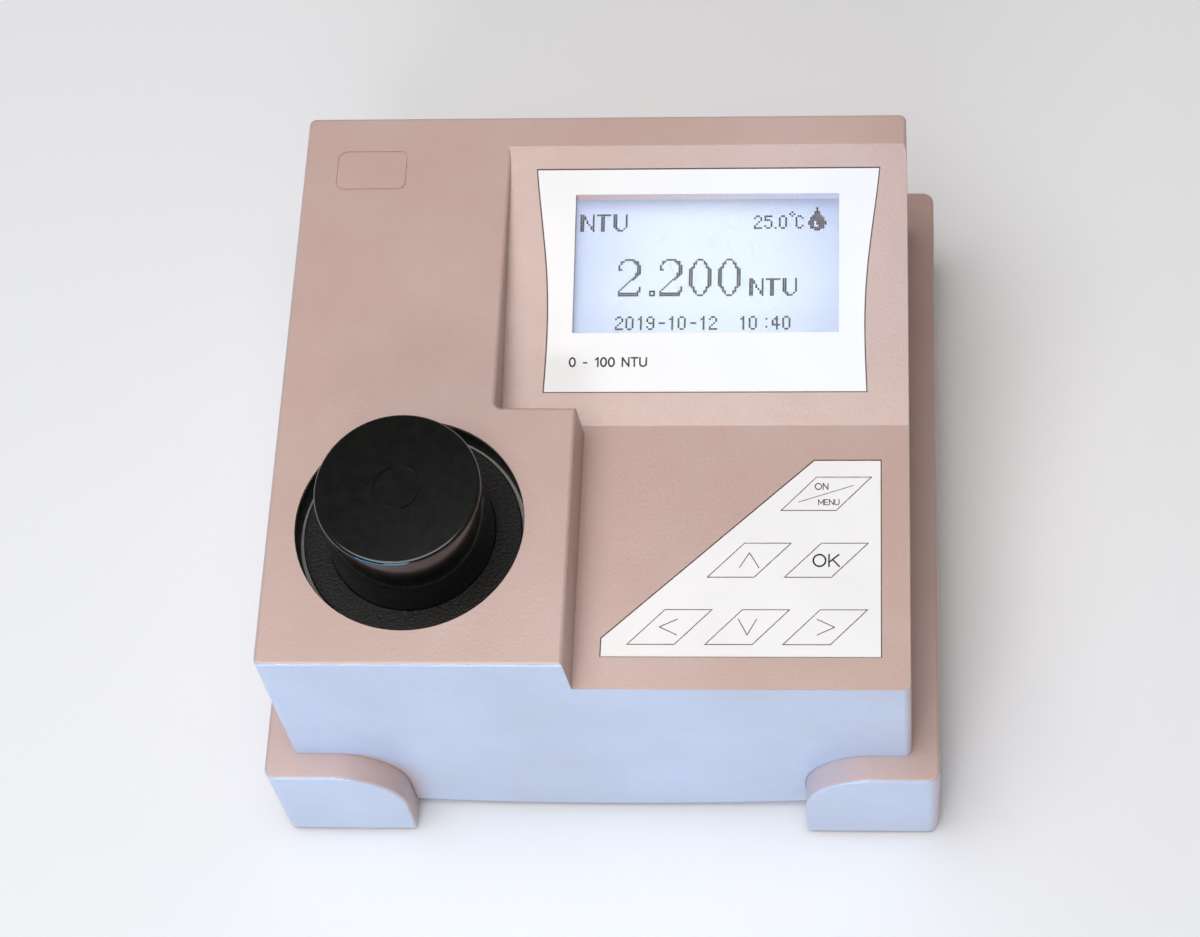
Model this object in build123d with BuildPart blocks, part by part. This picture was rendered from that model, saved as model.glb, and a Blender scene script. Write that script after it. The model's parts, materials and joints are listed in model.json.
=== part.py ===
from build123d import *
import os
from math import atan2, cos, sin, degrees

os.makedirs("parts", exist_ok=True)

# ---------------------------------------------------------------- driving sizes (mm)
TOP_W = 151.0            # width of the housing's top
TOP_D = 149.5            # depth of the housing's top
TOP_Z = 92.9             # height of the top above the bench
TOP_Y0, TOP_Y1 = -76.975, 72.525
DRAFT_X, DRAFT_Y = 0.020, 0.01124   # draft of side and front walls, mm per mm
WALL = 2.6
LEDGE_Z = 36.85          # top of the lower case
BASE_W, BASE_D = 166.9, 168.75
BASE_Z = 1.6             # underside of the lower case
FLOOR_Z = 4.1
KEY_Z = 79.0             # keypad plane
STEP_X = -23.5           # left wall of the display slope
BLOCK_X = -3.9           # right wall of the raised cell block, at the top
NOTCH_Y = -10.2          # back wall of the raised cell block
SLOPE_Y0, SLOPE_Y1 = -8.155, 63.775
HORN_X, HORN_Z, HORN_A, HORN_B = 67.2, 17.85, 17.0, 19.0   # front foot's curved shoulder

CX, CY = -41.68, -41.065 # axis of the sample well
HOLE_R = 27.2
WELL_R = 12.75           # bore for a 25 mm sample cell
TUBE_R = 15.0
WELL_Z0 = 29.0
PLATE_Z0, PLATE_Z1 = 82.5, 85.0
BRIM_R, BRIM_Z0, BRIM_Z1 = 26.0, 86.0, 87.3
CAP_R0, CAP_R1, CAP_Z = 19.8, 19.25, 112.0
OPT_Z = 48.0             # height of the light path

LCD_X, LCD_S = 25.95, 31.2   # centre of the display, across and down the slope
WIN_W, WIN_H = 65.7, 36.4

KEY_W, KEY_H, KEY_SHEAR = 10.85, 8.7, 8.5
KEYS = {
    "key_power": (53.6, -22.1, 12.95),
    "key_up": (36.6, -39.6, KEY_W),
    "key_ok": (54.9, -39.6, KEY_W),
    "key_left": (18.15, -56.85, KEY_W),
    "key_down": (36.45, -56.85, KEY_W),
    "key_right": (54.75, -56.85, KEY_W),
}
KEY_TOP = 78.75
KEY_GAP = 0.2

ang = atan2(TOP_Z - KEY_Z, SLOPE_Y1 - SLOPE_Y0)
SLOPE = Plane(origin=(0, SLOPE_Y1, TOP_Z), x_dir=(1, 0, 0), z_dir=(0, -sin(ang), cos(ang)))


def box_at(x0, x1, y0, y1, z0, z1, mode=Mode.ADD):
    with Locations(((x0 + x1) / 2, (y0 + y1) / 2, (z0 + z1) / 2)):
        Box(x1 - x0, y1 - y0, z1 - z0, mode=mode)


def rod_z(x, y, z0, z1, r, mode=Mode.ADD):
    with Locations((x, y, (z0 + z1) / 2)):
        Cylinder(r, z1 - z0, mode=mode)


def rod_y(x, y0, y1, z, r, mode=Mode.ADD):
    with Locations((x, (y0 + y1) / 2, z)):
        Cylinder(r, y1 - y0, rotation=(90, 0, 0), mode=mode)


def rod_x(x0, x1, y, z, r, mode=Mode.ADD):
    with Locations(((x0 + x1) / 2, y, z)):
        Cylinder(r, x1 - x0, rotation=(0, 90, 0), mode=mode)


def slope_box(x0, x1, s0, s1, n0, n1, mode=Mode.ADD):
    with Locations(SLOPE.location * Location(((x0 + x1) / 2, -(s0 + s1) / 2, (n0 + n1) / 2))):
        Box(x1 - x0, s1 - s0, n1 - n0, mode=mode)


def slope_rod(points, n0, n1, r, mode=Mode.ADD):
    with Locations(*[SLOPE.location * Location((x, -s, (n0 + n1) / 2)) for x, s in points]):
        Cylinder(r, n1 - n0, mode=mode)


def drafted(z, inset=0.0):
    """half width, front y and back y of the housing's wall at height z"""
    return (TOP_W / 2 + (TOP_Z - z) * DRAFT_X - inset,
            TOP_Y0 - (TOP_Z - z) * DRAFT_Y + inset,
            TOP_Y1 + (TOP_Z - z) * DRAFT_Y - inset)


def wall_section(z, inset, radius):
    """plan outline of the housing's wall at height z"""
    hx, y0, y1 = drafted(z, inset)
    return Pos(0, (y0 + y1) / 2, z) * RectangleRounded(2 * hx, y1 - y0, radius)


def horn_profile(grow):
    """opening between the two front feet, seen from the front"""
    with Locations((0, 30)):
        Rectangle(2 * HORN_X, 60)
    for side in (-1, 1):
        with Locations((side * (HORN_X + 20), HORN_Z / 2)):
            Rectangle(40 + 2 * (HORN_A + grow), HORN_Z, mode=Mode.SUBTRACT)
        with Locations((side * HORN_X, HORN_Z)):
            Ellipse(HORN_A + grow, HORN_B + grow, mode=Mode.SUBTRACT)


def key_shape(name, grow):
    x, y, w = KEYS[name]
    s, h = KEY_SHEAR * (0.97 if name == "key_power" else 1.0), KEY_H
    length = (s * s + h * h) ** 0.5
    e, k = grow * length / h, s / h
    return [(x + k * grow - e, y + grow), (x + w + k * grow + e, y + grow),
            (x + w - s - k * grow + e, y - h - grow), (x - s - k * grow - e, y - h - grow)]


def key_centre(name):
    pts = key_shape(name, 0)
    return sum(p[0] for p in pts) / 4, sum(p[1] for p in pts) / 4


def key_label_outline(grow):
    g = grow
    slant = 0.414 * g
    return [(53.0 - slant, -17.6 + g), (69.0 + g, -17.6 + g), (69.0 + g, -68.8 - g),
            (3.3 - g, -68.8 - g), (3.3 - g, -64.2 + slant)]


def display_outline(grow):
    """edges of the display label, from its half widths at distances down the slope"""
    hw = [(6.4, 42.75), (20.0, 41.15), (32.0, 39.75), (45.0, 39.05), (53.0, 39.1), (64.6, 39.55)]
    top, bottom = -6.4 + grow, -64.6 - grow
    right = [(26.05 + w + grow, -s) for s, w in hw]
    left = [(26.05 - w - grow, -s) for s, w in hw]
    right[0] = (right[0][0], top)
    left[0] = (left[0][0], top)
    right[-1] = (right[-1][0], bottom)
    left[-1] = (left[-1][0], bottom)
    return [Edge.make_line(left[0], right[0]), Edge.make_spline(right),
            Edge.make_line(right[-1], left[-1]), Edge.make_spline(left[::-1])]


LCD_SCREWS = [(-17.5, -0.8), (69.4, -0.8), (-17.5, 63.2), (69.4, 63.2)]
COVER_SCREWS = [(-70.3, 60.0), (70.3, 60.0), (-70.3, -62.0), (70.3, -62.0)]
WELL_SCREWS = [(CX + a * 23.3, CY + b * 23.3) for a in (-1, 1) for b in (-1, 1)]
BOARD_SCREWS = [(-14.0, -57.0), (60.0, -57.0), (-14.0, 57.0), (60.0, 57.0)]
BLOCK_SCREWS = [(-56.2, -56.0), (-27.2, -56.0), (-56.2, -13.0), (-27.2, -13.0)]
FEET = [(-73.5, -75.0), (73.5, -75.0), (-73.5, 74.5), (73.5, 74.5)]
TAIL_X, TAIL_Y = 36.0, -64.5
JACK_X, JACK_Z = 48.0, 20.0

OUTER = [wall_section(0.0, 0.0, 1.8), wall_section(TOP_Z, 0.0, 1.8)]
INNER = [wall_section(-6.0, WALL, 1.0), wall_section(TOP_Z - WALL, WALL, 1.0)]

# ---------------------------------------------------------------- housing
# inner space of the upper housing
with BuildPart() as cover_void:
    loft(sections=INNER)
    with BuildSketch(Plane.YZ.offset(STEP_X - WALL)):
        Polygon((66.13, 90.3), (-10.5, 75.5), (NOTCH_Y - WALL, 75.5), (NOTCH_Y - WALL, 99), (66.13, 99), align=None)
    extrude(amount=140, mode=Mode.SUBTRACT)
    with BuildSketch(Plane.XZ.offset(-(NOTCH_Y - WALL) - 0.01)):
        Polygon((BLOCK_X - WALL + 0.1, 99), (BLOCK_X - WALL + 0.8, 75.5), (120, 75.5), (120, 99), align=None)
    extrude(amount=120, mode=Mode.SUBTRACT)

# what the lower case and the bench side take away from the upper housing
with BuildPart() as cover_trim:
    box_at(-120, 120, -120, 120, -20, LEDGE_Z + 0.1)
    with BuildSketch(Plane.XZ.offset(74.9)):
        horn_profile(0.15)
        with Locations((0, 435.0)):
            Circle(432.5, mode=Mode.INTERSECT)
    extrude(amount=60, mode=Mode.SUBTRACT)

with BuildPart() as top_cover:
    loft(sections=OUTER)
    # display slope
    with BuildSketch(Plane.YZ.offset(STEP_X)):
        Polygon((SLOPE_Y1, TOP_Z), (SLOPE_Y0, KEY_Z), (NOTCH_Y, KEY_Z), (NOTCH_Y, 130), (SLOPE_Y1, 130), align=None)
    extrude(amount=140, mode=Mode.SUBTRACT)
    # keypad plane, with a drafted wall beside the raised block
    with BuildSketch(Plane.XZ.offset(-NOTCH_Y - 0.01)):
        Polygon((BLOCK_X - 0.8 * 37.1 / 13.9, 130), (BLOCK_X + 0.8, KEY_Z), (140, KEY_Z), (140, 130), align=None)
    extrude(amount=120, mode=Mode.SUBTRACT)
    # upright edge of the notch
    fillet(top_cover.edges().filter_by(Axis.Z, tolerance=4).filter_by_position(Axis.X, STEP_X - 0.1, STEP_X + 0.1).filter_by_position(Axis.Y, NOTCH_Y - 0.2, NOTCH_Y + 0.2), 1.8)
    top_edges = top_cover.edges().filter_by_position(Axis.Z, TOP_Z - 0.01, TOP_Z + 0.01)
    fillet(top_edges, 0.9)
    key_front = top_cover.edges().filter_by_position(Axis.Z, KEY_Z - 0.01, KEY_Z + 0.01).filter_by(Axis.X).sort_by(Axis.Y)[0:1]
    fillet(key_front, 0.9)
    add(cover_void.part, mode=Mode.SUBTRACT)
    add(cover_trim.part, mode=Mode.SUBTRACT)
    # pads under the plate that hold the well, and its hole
    with BuildSketch(Plane.XY.offset(PLATE_Z1 + 0.05)):
        with Locations(*WELL_SCREWS):
            Circle(3.5)
    extrude(amount=91.5 - PLATE_Z1)
    rod_z(CX, CY, 60, 110, HOLE_R, Mode.SUBTRACT)
    rod_z(CX, CY, 60, TOP_Z - 0.7, 28.5, Mode.SUBTRACT)
    with BuildSketch(Plane.XY.offset(PLATE_Z1)):
        with Locations(*WELL_SCREWS):
            Circle(1.5)
    extrude(amount=5.0, mode=Mode.SUBTRACT)
    # screw bosses on the side walls
    with BuildSketch(Plane.XY.offset(LEDGE_Z + 0.1)):
        with Locations(*COVER_SCREWS):
            Circle(4.0)
    extrude(amount=25.0)
    with BuildSketch(Plane.XY.offset(LEDGE_Z)):
        with Locations(*COVER_SCREWS):
            Circle(1.55)
    extrude(amount=14.0, mode=Mode.SUBTRACT)
    # display: label recess, opening, module bosses
    with BuildSketch(SLOPE.offset(-0.6)):
        make_face(display_outline(0.25))
    extrude(amount=3.0, mode=Mode.SUBTRACT)
    with BuildSketch(SLOPE.offset(-6.0)):
        with Locations((LCD_X, -LCD_S)):
            RectangleRounded(WIN_W, WIN_H, 0.5)
    extrude(amount=8.0, mode=Mode.SUBTRACT)
    slope_rod(LCD_SCREWS, -11.5, -2.4, 2.8)
    slope_rod(LCD_SCREWS, -12.0, -5.0, 1.25, Mode.SUBTRACT)
    # keypad recess and the slot for its tail
    with BuildSketch(Plane.XY.offset(77.2)):
        Polygon(*key_label_outline(0.2), align=None)
    extrude(amount=5.0, mode=Mode.SUBTRACT)
    box_at(TAIL_X - 7, TAIL_X + 7, TAIL_Y - 0.6, TAIL_Y + 0.6, 70, 78, Mode.SUBTRACT)
    # blank pad in the back left corner of the top: a plain framed rectangle
    with BuildSketch(Plane.XY.offset(TOP_Z - 0.35)):
        with Locations((-58.2, 56.8)):
            RectangleRounded(18.0, 11.6, 2.4)
            RectangleRounded(16.8, 10.4, 1.8, mode=Mode.SUBTRACT)
    extrude(amount=1.0, mode=Mode.SUBTRACT)
top_cover.part.label = "top_cover"
export_step(top_cover.part, "parts/top_cover.step")

with BuildPart() as base_tray:
    with BuildSketch(Plane.XY.offset(BASE_Z)):
        RectangleRounded(BASE_W + 0.8, BASE_D + 0.8, 3.0)
    with BuildSketch(Plane.XY.offset(LEDGE_Z)):
        RectangleRounded(BASE_W, BASE_D, 3.0)
    loft()
    with BuildSketch(Plane.XZ.offset(74.95)):
        horn_profile(0.0)
    extrude(amount=40, mode=Mode.SUBTRACT)
    rim = base_tray.edges().filter_by_position(Axis.Z, LEDGE_Z - 0.01, LEDGE_Z + 0.01).filter_by(
        lambda e: abs(e.center().X) > HORN_X + 0.3 or abs(e.center().Y) > 75.5)
    shoulder = base_tray.edges().filter_by_position(Axis.Y, -86, -84).filter_by(
        lambda e: HORN_Z - 1 < e.center().Z < LEDGE_Z - 0.1 and abs(e.center().X) < 70)
    fillet(rim + shoulder, 0.8)
    box_at(-80.9, 80.9, -72.4, 81.9, FLOOR_Z, 34.35, Mode.SUBTRACT)
    box_at(-73.4, 73.4, -72.4, 70.2, 34.0, 40.0, Mode.SUBTRACT)
    box_at(-80.9, -54.5, -81.8, -72.0, FLOOR_Z, 24.0, Mode.SUBTRACT)
    box_at(54.5, 80.9, -81.8, -72.0, FLOOR_Z, 24.0, Mode.SUBTRACT)
    # posts: housing screws, board, optical block
    with BuildSketch(Plane.XY.offset(FLOOR_Z - 0.5)):
        with Locations(*COVER_SCREWS):
            Circle(4.6)
    extrude(amount=LEDGE_Z - FLOOR_Z + 0.5)
    with BuildSketch(Plane.XY.offset(FLOOR_Z - 0.5)):
        with Locations(*BOARD_SCREWS):
            Circle(3.0)
    extrude(amount=10.0 - FLOOR_Z + 0.5)
    with BuildSketch(Plane.XY.offset(FLOOR_Z - 0.5)):
        with Locations(*BLOCK_SCREWS):
            Circle(3.6)
    extrude(amount=33.95 - FLOOR_Z + 0.5)
    with BuildSketch(Plane.XY):
        with Locations(*COVER_SCREWS):
            Circle(1.8)
    extrude(amount=40.0, mode=Mode.SUBTRACT)
    with BuildSketch(Plane.XY):
        with Locations(*COVER_SCREWS):
            Circle(3.2)
    extrude(amount=30.0, mode=Mode.SUBTRACT)
    with BuildSketch(Plane.XY.offset(5.0)):
        with Locations(*BOARD_SCREWS):
            Circle(1.15)
    extrude(amount=6.0, mode=Mode.SUBTRACT)
    with BuildSketch(Plane.XY.offset(22.0)):
        with Locations(*BLOCK_SCREWS):
            Circle(1.3)
    extrude(amount=13.0, mode=Mode.SUBTRACT)
    # seats for the rubber feet
    with BuildSketch(Plane.XY.offset(BASE_Z - 1)):
        with Locations(*FEET):
            Circle(5.1)
    extrude(amount=1.4, mode=Mode.SUBTRACT)
    # power inlet at the back
    box_at(JACK_X - 12, JACK_X + 12, 79.0, 82.2, 9.0, 31.0)
    rod_y(JACK_X, 82.6, 90.0, JACK_Z, 7.5, Mode.SUBTRACT)
    rod_y(JACK_X, 70.0, 90.0, JACK_Z, 5.6, Mode.SUBTRACT)
base_tray.part.label = "base_tray"
export_step(base_tray.part, "parts/base_tray.step")

with BuildPart() as rubber_feet:
    with BuildSketch(Plane.XY):
        with Locations(*FEET):
            Circle(5.0)
    extrude(amount=2.0)
    chamfer(rubber_feet.edges().filter_by_position(Axis.Z, -0.01, 0.01), 0.4)
rubber_feet.part.label = "rubber_feet"
export_step(rubber_feet.part, "parts/rubber_feet.step")

with BuildPart() as cover_screws:
    with BuildSketch(Plane.XY.offset(27.8)):
        with Locations(*COVER_SCREWS):
            Circle(2.9)
    extrude(amount=2.2)
    with BuildSketch(Plane.XY.offset(29.0)):
        with Locations(*COVER_SCREWS):
            Circle(1.5)
    extrude(amount=20.5)
    with BuildSketch(Plane.XY.offset(27.0)):
        with Locations(*COVER_SCREWS):
            Rectangle(3.4, 0.7)
            Rectangle(0.7, 3.4)
    extrude(amount=1.8, mode=Mode.SUBTRACT)
cover_screws.part.label = "cover_screws"
export_step(cover_screws.part, "parts/cover_screws.step")

# ---------------------------------------------------------------- sample well and cap
with BuildPart() as well_insert:
    with BuildSketch(Plane.XY.offset(PLATE_Z0)):
        with Locations((CX, CY)):
            RectangleRounded(55.0, 55.0, 4.4)
    extrude(amount=PLATE_Z1 - PLATE_Z0)
    rod_z(CX, CY, WELL_Z0 - 2.0, PLATE_Z1, TUBE_R)
    rod_z(CX, CY, WELL_Z0, 99, WELL_R, Mode.SUBTRACT)
    rod_y(CX, CY - 20, CY + 20, OPT_Z, 2.7, Mode.SUBTRACT)
    rod_x(CX, CX + 20, CY, OPT_Z, 2.7, Mode.SUBTRACT)
    chamfer(well_insert.edges().filter_by(GeomType.CIRCLE).filter_by_position(Axis.Z, PLATE_Z1 - 0.01, PLATE_Z1 + 0.01).filter_by(lambda e: abs(e.radius - WELL_R) < 0.01), 0.6)
    with BuildSketch(Plane.XY.offset(70)):
        with Locations(*WELL_SCREWS):
            Circle(1.7)
    extrude(amount=20, mode=Mode.SUBTRACT)
well_insert.part.label = "well_insert"
export_step(well_insert.part, "parts/well_insert.step")

with BuildPart() as well_collar:
    with BuildSketch(Plane.XY.offset(PLATE_Z1)):
        with Locations((CX, CY)):
            Circle(28.3)
            Circle(27.0, mode=Mode.SUBTRACT)
    extrude(amount=TOP_Z - 0.75 - PLATE_Z1)
well_collar.part.label = "well_collar"
export_step(well_collar.part, "parts/well_collar.step")

with BuildPart() as well_screws:
    with BuildSketch(Plane.XY.offset(PLATE_Z0 - 2.1)):
        with Locations(*WELL_SCREWS):
            Circle(2.75)
    extrude(amount=2.1)
    with BuildSketch(Plane.XY.offset(PLATE_Z0 - 1.0)):
        with Locations(*WELL_SCREWS):
            Circle(1.45)
    extrude(amount=7.6)
    with BuildSketch(Plane.XY.offset(PLATE_Z0 - 3.0)):
        with Locations(*WELL_SCREWS):
            Rectangle(3.2, 0.7)
            Rectangle(0.7, 3.2)
    extrude(amount=1.9, mode=Mode.SUBTRACT)
well_screws.part.label = "well_screws"
export_step(well_screws.part, "parts/well_screws.step")

with BuildPart() as seal_ring:
    with BuildSketch(Plane.XY.offset(PLATE_Z1)):
        with Locations((CX, CY)):
            Circle(26.9)
            Circle(17.5, mode=Mode.SUBTRACT)
    extrude(amount=0.85)
seal_ring.part.label = "seal_ring"
export_step(seal_ring.part, "parts/seal_ring.step")

with BuildPart() as cap_shell:
    with BuildSketch(Plane(origin=(CX, CY, 0), x_dir=(1, 0, 0), z_dir=(0, -1, 0))):
        Polygon((17.5, BRIM_Z0), (BRIM_R, BRIM_Z0), (BRIM_R, BRIM_Z1), (CAP_R0, BRIM_Z1), (CAP_R1, CAP_Z),
                (0, CAP_Z), (0, CAP_Z - 2.2), (17.2, CAP_Z - 2.2), align=None)
    revolve(axis=Axis((CX, CY, 0), (0, 0, 1)))
    fillet(cap_shell.edges().filter_by(GeomType.CIRCLE).filter_by_position(Axis.Z, CAP_Z - 0.01, CAP_Z + 0.01), 0.9)
    fillet(cap_shell.edges().filter_by(GeomType.CIRCLE).filter_by_position(Axis.Z, BRIM_Z1 - 0.01, BRIM_Z1 + 0.01), 0.35)
    # plain round finger dimple
    with BuildSketch(Plane.XY.offset(CAP_Z - 0.3)):
        with Locations((CX, CY)):
            Circle(5.6)
            Circle(5.0, mode=Mode.SUBTRACT)
    extrude(amount=1.0, mode=Mode.SUBTRACT)
cap_shell.part.label = "cap_shell"
export_step(cap_shell.part, "parts/cap_shell.step")

with BuildPart() as cap_pad:
    with BuildSketch(Plane.XY.offset(CAP_Z - 4.2)):
        with Locations((CX, CY)):
            Circle(16.9)
    extrude(amount=1.95)
cap_pad.part.label = "cap_pad"
export_step(cap_pad.part, "parts/cap_pad.step")

# ---------------------------------------------------------------- display
with BuildPart() as display_label:
    with BuildSketch(SLOPE.offset(-0.6)):
        make_face(display_outline(0.0))
        with Locations((LCD_X, -LCD_S)):
            RectangleRounded(WIN_W, WIN_H, 0.4, mode=Mode.SUBTRACT)
    extrude(amount=0.4)
display_label.part.label = "display_label"
export_step(display_label.part, "parts/display_label.step")

with BuildPart() as display_window:
    slope_box(LCD_X - 36.5, LCD_X + 36.5, LCD_S - 21.5, LCD_S + 21.5, -4.05, -3.05)
display_window.part.label = "display_window"
export_step(display_window.part, "parts/display_window.step")

with BuildPart() as lcd_bezel:
    slope_box(LCD_X - 39, LCD_X + 39, LCD_S - 25.5, LCD_S + 25.5, -11.5, -4.15)
    slope_box(LCD_X - 38.2, LCD_X + 38.2, LCD_S - 24.7, LCD_S + 24.7, -12.0, -4.95, Mode.SUBTRACT)
    slope_box(LCD_X - 35.5, LCD_X + 35.5, LCD_S - 19.3, LCD_S + 19.3, -6.0, -3.0, Mode.SUBTRACT)
lcd_bezel.part.label = "lcd_bezel"
export_step(lcd_bezel.part, "parts/lcd_bezel.step")

with BuildPart() as lcd_glass:
    slope_box(LCD_X - 37.5, LCD_X + 37.5, LCD_S - 23.0, LCD_S + 23.0, -8.8, -6.0)
lcd_glass.part.label = "lcd_glass"
export_step(lcd_glass.part, "parts/lcd_glass.step")

with BuildPart() as lcd_backlight:
    slope_box(LCD_X - 37.5, LCD_X + 37.5, LCD_S - 23.5, LCD_S + 23.5, -11.45, -8.85)
lcd_backlight.part.label = "lcd_backlight"
export_step(lcd_backlight.part, "parts/lcd_backlight.step")

with BuildPart() as lcd_board:
    slope_box(LCD_X - 46.5, LCD_X + 46.4, LCD_S - 35.0, LCD_S + 35.0, -13.15, -11.55)
    slope_rod(LCD_SCREWS, -14.0, -11.0, 1.5, Mode.SUBTRACT)
    slope_box(LCD_X - 20, LCD_X + 6, 5.0, 11.0, -14.9, -13.1)
    slope_box(LCD_X - 16, LCD_X + 16, 57.0, 62.5, -18.0, -13.1)
lcd_board.part.label = "lcd_board"
export_step(lcd_board.part, "parts/lcd_board.step")

with BuildPart() as lcd_screws:
    slope_rod(LCD_SCREWS, -15.1, -13.2, 2.6)
    slope_rod(LCD_SCREWS, -14.0, -5.6, 1.2)
lcd_screws.part.label = "lcd_screws"
export_step(lcd_screws.part, "parts/lcd_screws.step")

# ---------------------------------------------------------------- keypad
with BuildPart() as keypad_circuit:
    with BuildSketch(Plane.XY.offset(77.2)):
        Polygon(*key_label_outline(-0.1), align=None)
    extrude(amount=0.3)
keypad_circuit.part.label = "keypad_circuit"
export_step(keypad_circuit.part, "parts/keypad_circuit.step")

with BuildPart() as keypad_spacer:
    with BuildSketch(Plane.XY.offset(77.5)):
        Polygon(*key_label_outline(-0.1), align=None)
        for key in KEYS:
            Polygon(*key_shape(key, 0.6), align=None, mode=Mode.SUBTRACT)
    extrude(amount=0.75)
keypad_spacer.part.label = "keypad_spacer"
export_step(keypad_spacer.part, "parts/keypad_spacer.step")

with BuildPart() as keypad_label:
    with BuildSketch(Plane.XY.offset(78.25)):
        Polygon(*key_label_outline(0.0), align=None)
        for key in KEYS:
            Polygon(*key_shape(key, KEY_GAP), align=None, mode=Mode.SUBTRACT)
    extrude(amount=KEY_TOP - 78.25)
keypad_label.part.label = "keypad_label"
export_step(keypad_label.part, "parts/keypad_label.step")

with BuildPart() as key_power:
    with BuildSketch(Plane.XY.offset(78.15)):
        Polygon(*key_shape("key_power", 0), align=None)
    extrude(amount=KEY_TOP - 78.15)
    rod_z(*key_centre("key_power"), 78.06, 78.2, 1.5)
key_power.part.label = "key_power"
export_step(key_power.part, "parts/key_power.step")

with BuildPart() as key_up:
    with BuildSketch(Plane.XY.offset(78.15)):
        Polygon(*key_shape("key_up", 0), align=None)
    extrude(amount=KEY_TOP - 78.15)
    rod_z(*key_centre("key_up"), 78.06, 78.2, 1.5)
key_up.part.label = "key_up"
export_step(key_up.part, "parts/key_up.step")

with BuildPart() as key_ok:
    with BuildSketch(Plane.XY.offset(78.15)):
        Polygon(*key_shape("key_ok", 0), align=None)
    extrude(amount=KEY_TOP - 78.15)
    rod_z(*key_centre("key_ok"), 78.06, 78.2, 1.5)
key_ok.part.label = "key_ok"
export_step(key_ok.part, "parts/key_ok.step")

with BuildPart() as key_left:
    with BuildSketch(Plane.XY.offset(78.15)):
        Polygon(*key_shape("key_left", 0), align=None)
    extrude(amount=KEY_TOP - 78.15)
    rod_z(*key_centre("key_left"), 78.06, 78.2, 1.5)
key_left.part.label = "key_left"
export_step(key_left.part, "parts/key_left.step")

with BuildPart() as key_down:
    with BuildSketch(Plane.XY.offset(78.15)):
        Polygon(*key_shape("key_down", 0), align=None)
    extrude(amount=KEY_TOP - 78.15)
    rod_z(*key_centre("key_down"), 78.06, 78.2, 1.5)
key_down.part.label = "key_down"
export_step(key_down.part, "parts/key_down.step")

with BuildPart() as key_right:
    with BuildSketch(Plane.XY.offset(78.15)):
        Polygon(*key_shape("key_right", 0), align=None)
    extrude(amount=KEY_TOP - 78.15)
    rod_z(*key_centre("key_right"), 78.06, 78.2, 1.5)
key_right.part.label = "key_right"
export_step(key_right.part, "parts/key_right.step")


# half section of the thin snap dome under each key: radius and height
DOME = [(3.2, 77.52), (2.6, 77.74), (1.9, 77.88), (1.0, 77.97), (0, 78.0),
        (0, 77.86), (0.95, 77.83), (1.8, 77.74), (2.45, 77.61), (2.9, 77.52)]

with BuildPart() as dome_power:
    px, py = key_centre("key_power")
    with BuildSketch(Plane(origin=(px, py, 0), x_dir=(1, 0, 0), z_dir=(0, -1, 0))):
        Polygon(*DOME, align=None)
    revolve(axis=Axis((px, py, 0), (0, 0, 1)))
dome_power.part.label = "dome_power"
export_step(dome_power.part, "parts/dome_power.step")

with BuildPart() as dome_up:
    px, py = key_centre("key_up")
    with BuildSketch(Plane(origin=(px, py, 0), x_dir=(1, 0, 0), z_dir=(0, -1, 0))):
        Polygon(*DOME, align=None)
    revolve(axis=Axis((px, py, 0), (0, 0, 1)))
dome_up.part.label = "dome_up"
export_step(dome_up.part, "parts/dome_up.step")

with BuildPart() as dome_ok:
    px, py = key_centre("key_ok")
    with BuildSketch(Plane(origin=(px, py, 0), x_dir=(1, 0, 0), z_dir=(0, -1, 0))):
        Polygon(*DOME, align=None)
    revolve(axis=Axis((px, py, 0), (0, 0, 1)))
dome_ok.part.label = "dome_ok"
export_step(dome_ok.part, "parts/dome_ok.step")

with BuildPart() as dome_left:
    px, py = key_centre("key_left")
    with BuildSketch(Plane(origin=(px, py, 0), x_dir=(1, 0, 0), z_dir=(0, -1, 0))):
        Polygon(*DOME, align=None)
    revolve(axis=Axis((px, py, 0), (0, 0, 1)))
dome_left.part.label = "dome_left"
export_step(dome_left.part, "parts/dome_left.step")

with BuildPart() as dome_down:
    px, py = key_centre("key_down")
    with BuildSketch(Plane(origin=(px, py, 0), x_dir=(1, 0, 0), z_dir=(0, -1, 0))):
        Polygon(*DOME, align=None)
    revolve(axis=Axis((px, py, 0), (0, 0, 1)))
dome_down.part.label = "dome_down"
export_step(dome_down.part, "parts/dome_down.step")

with BuildPart() as dome_right:
    px, py = key_centre("key_right")
    with BuildSketch(Plane(origin=(px, py, 0), x_dir=(1, 0, 0), z_dir=(0, -1, 0))):
        Polygon(*DOME, align=None)
    revolve(axis=Axis((px, py, 0), (0, 0, 1)))
dome_right.part.label = "dome_right"
export_step(dome_right.part, "parts/dome_right.step")

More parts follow.
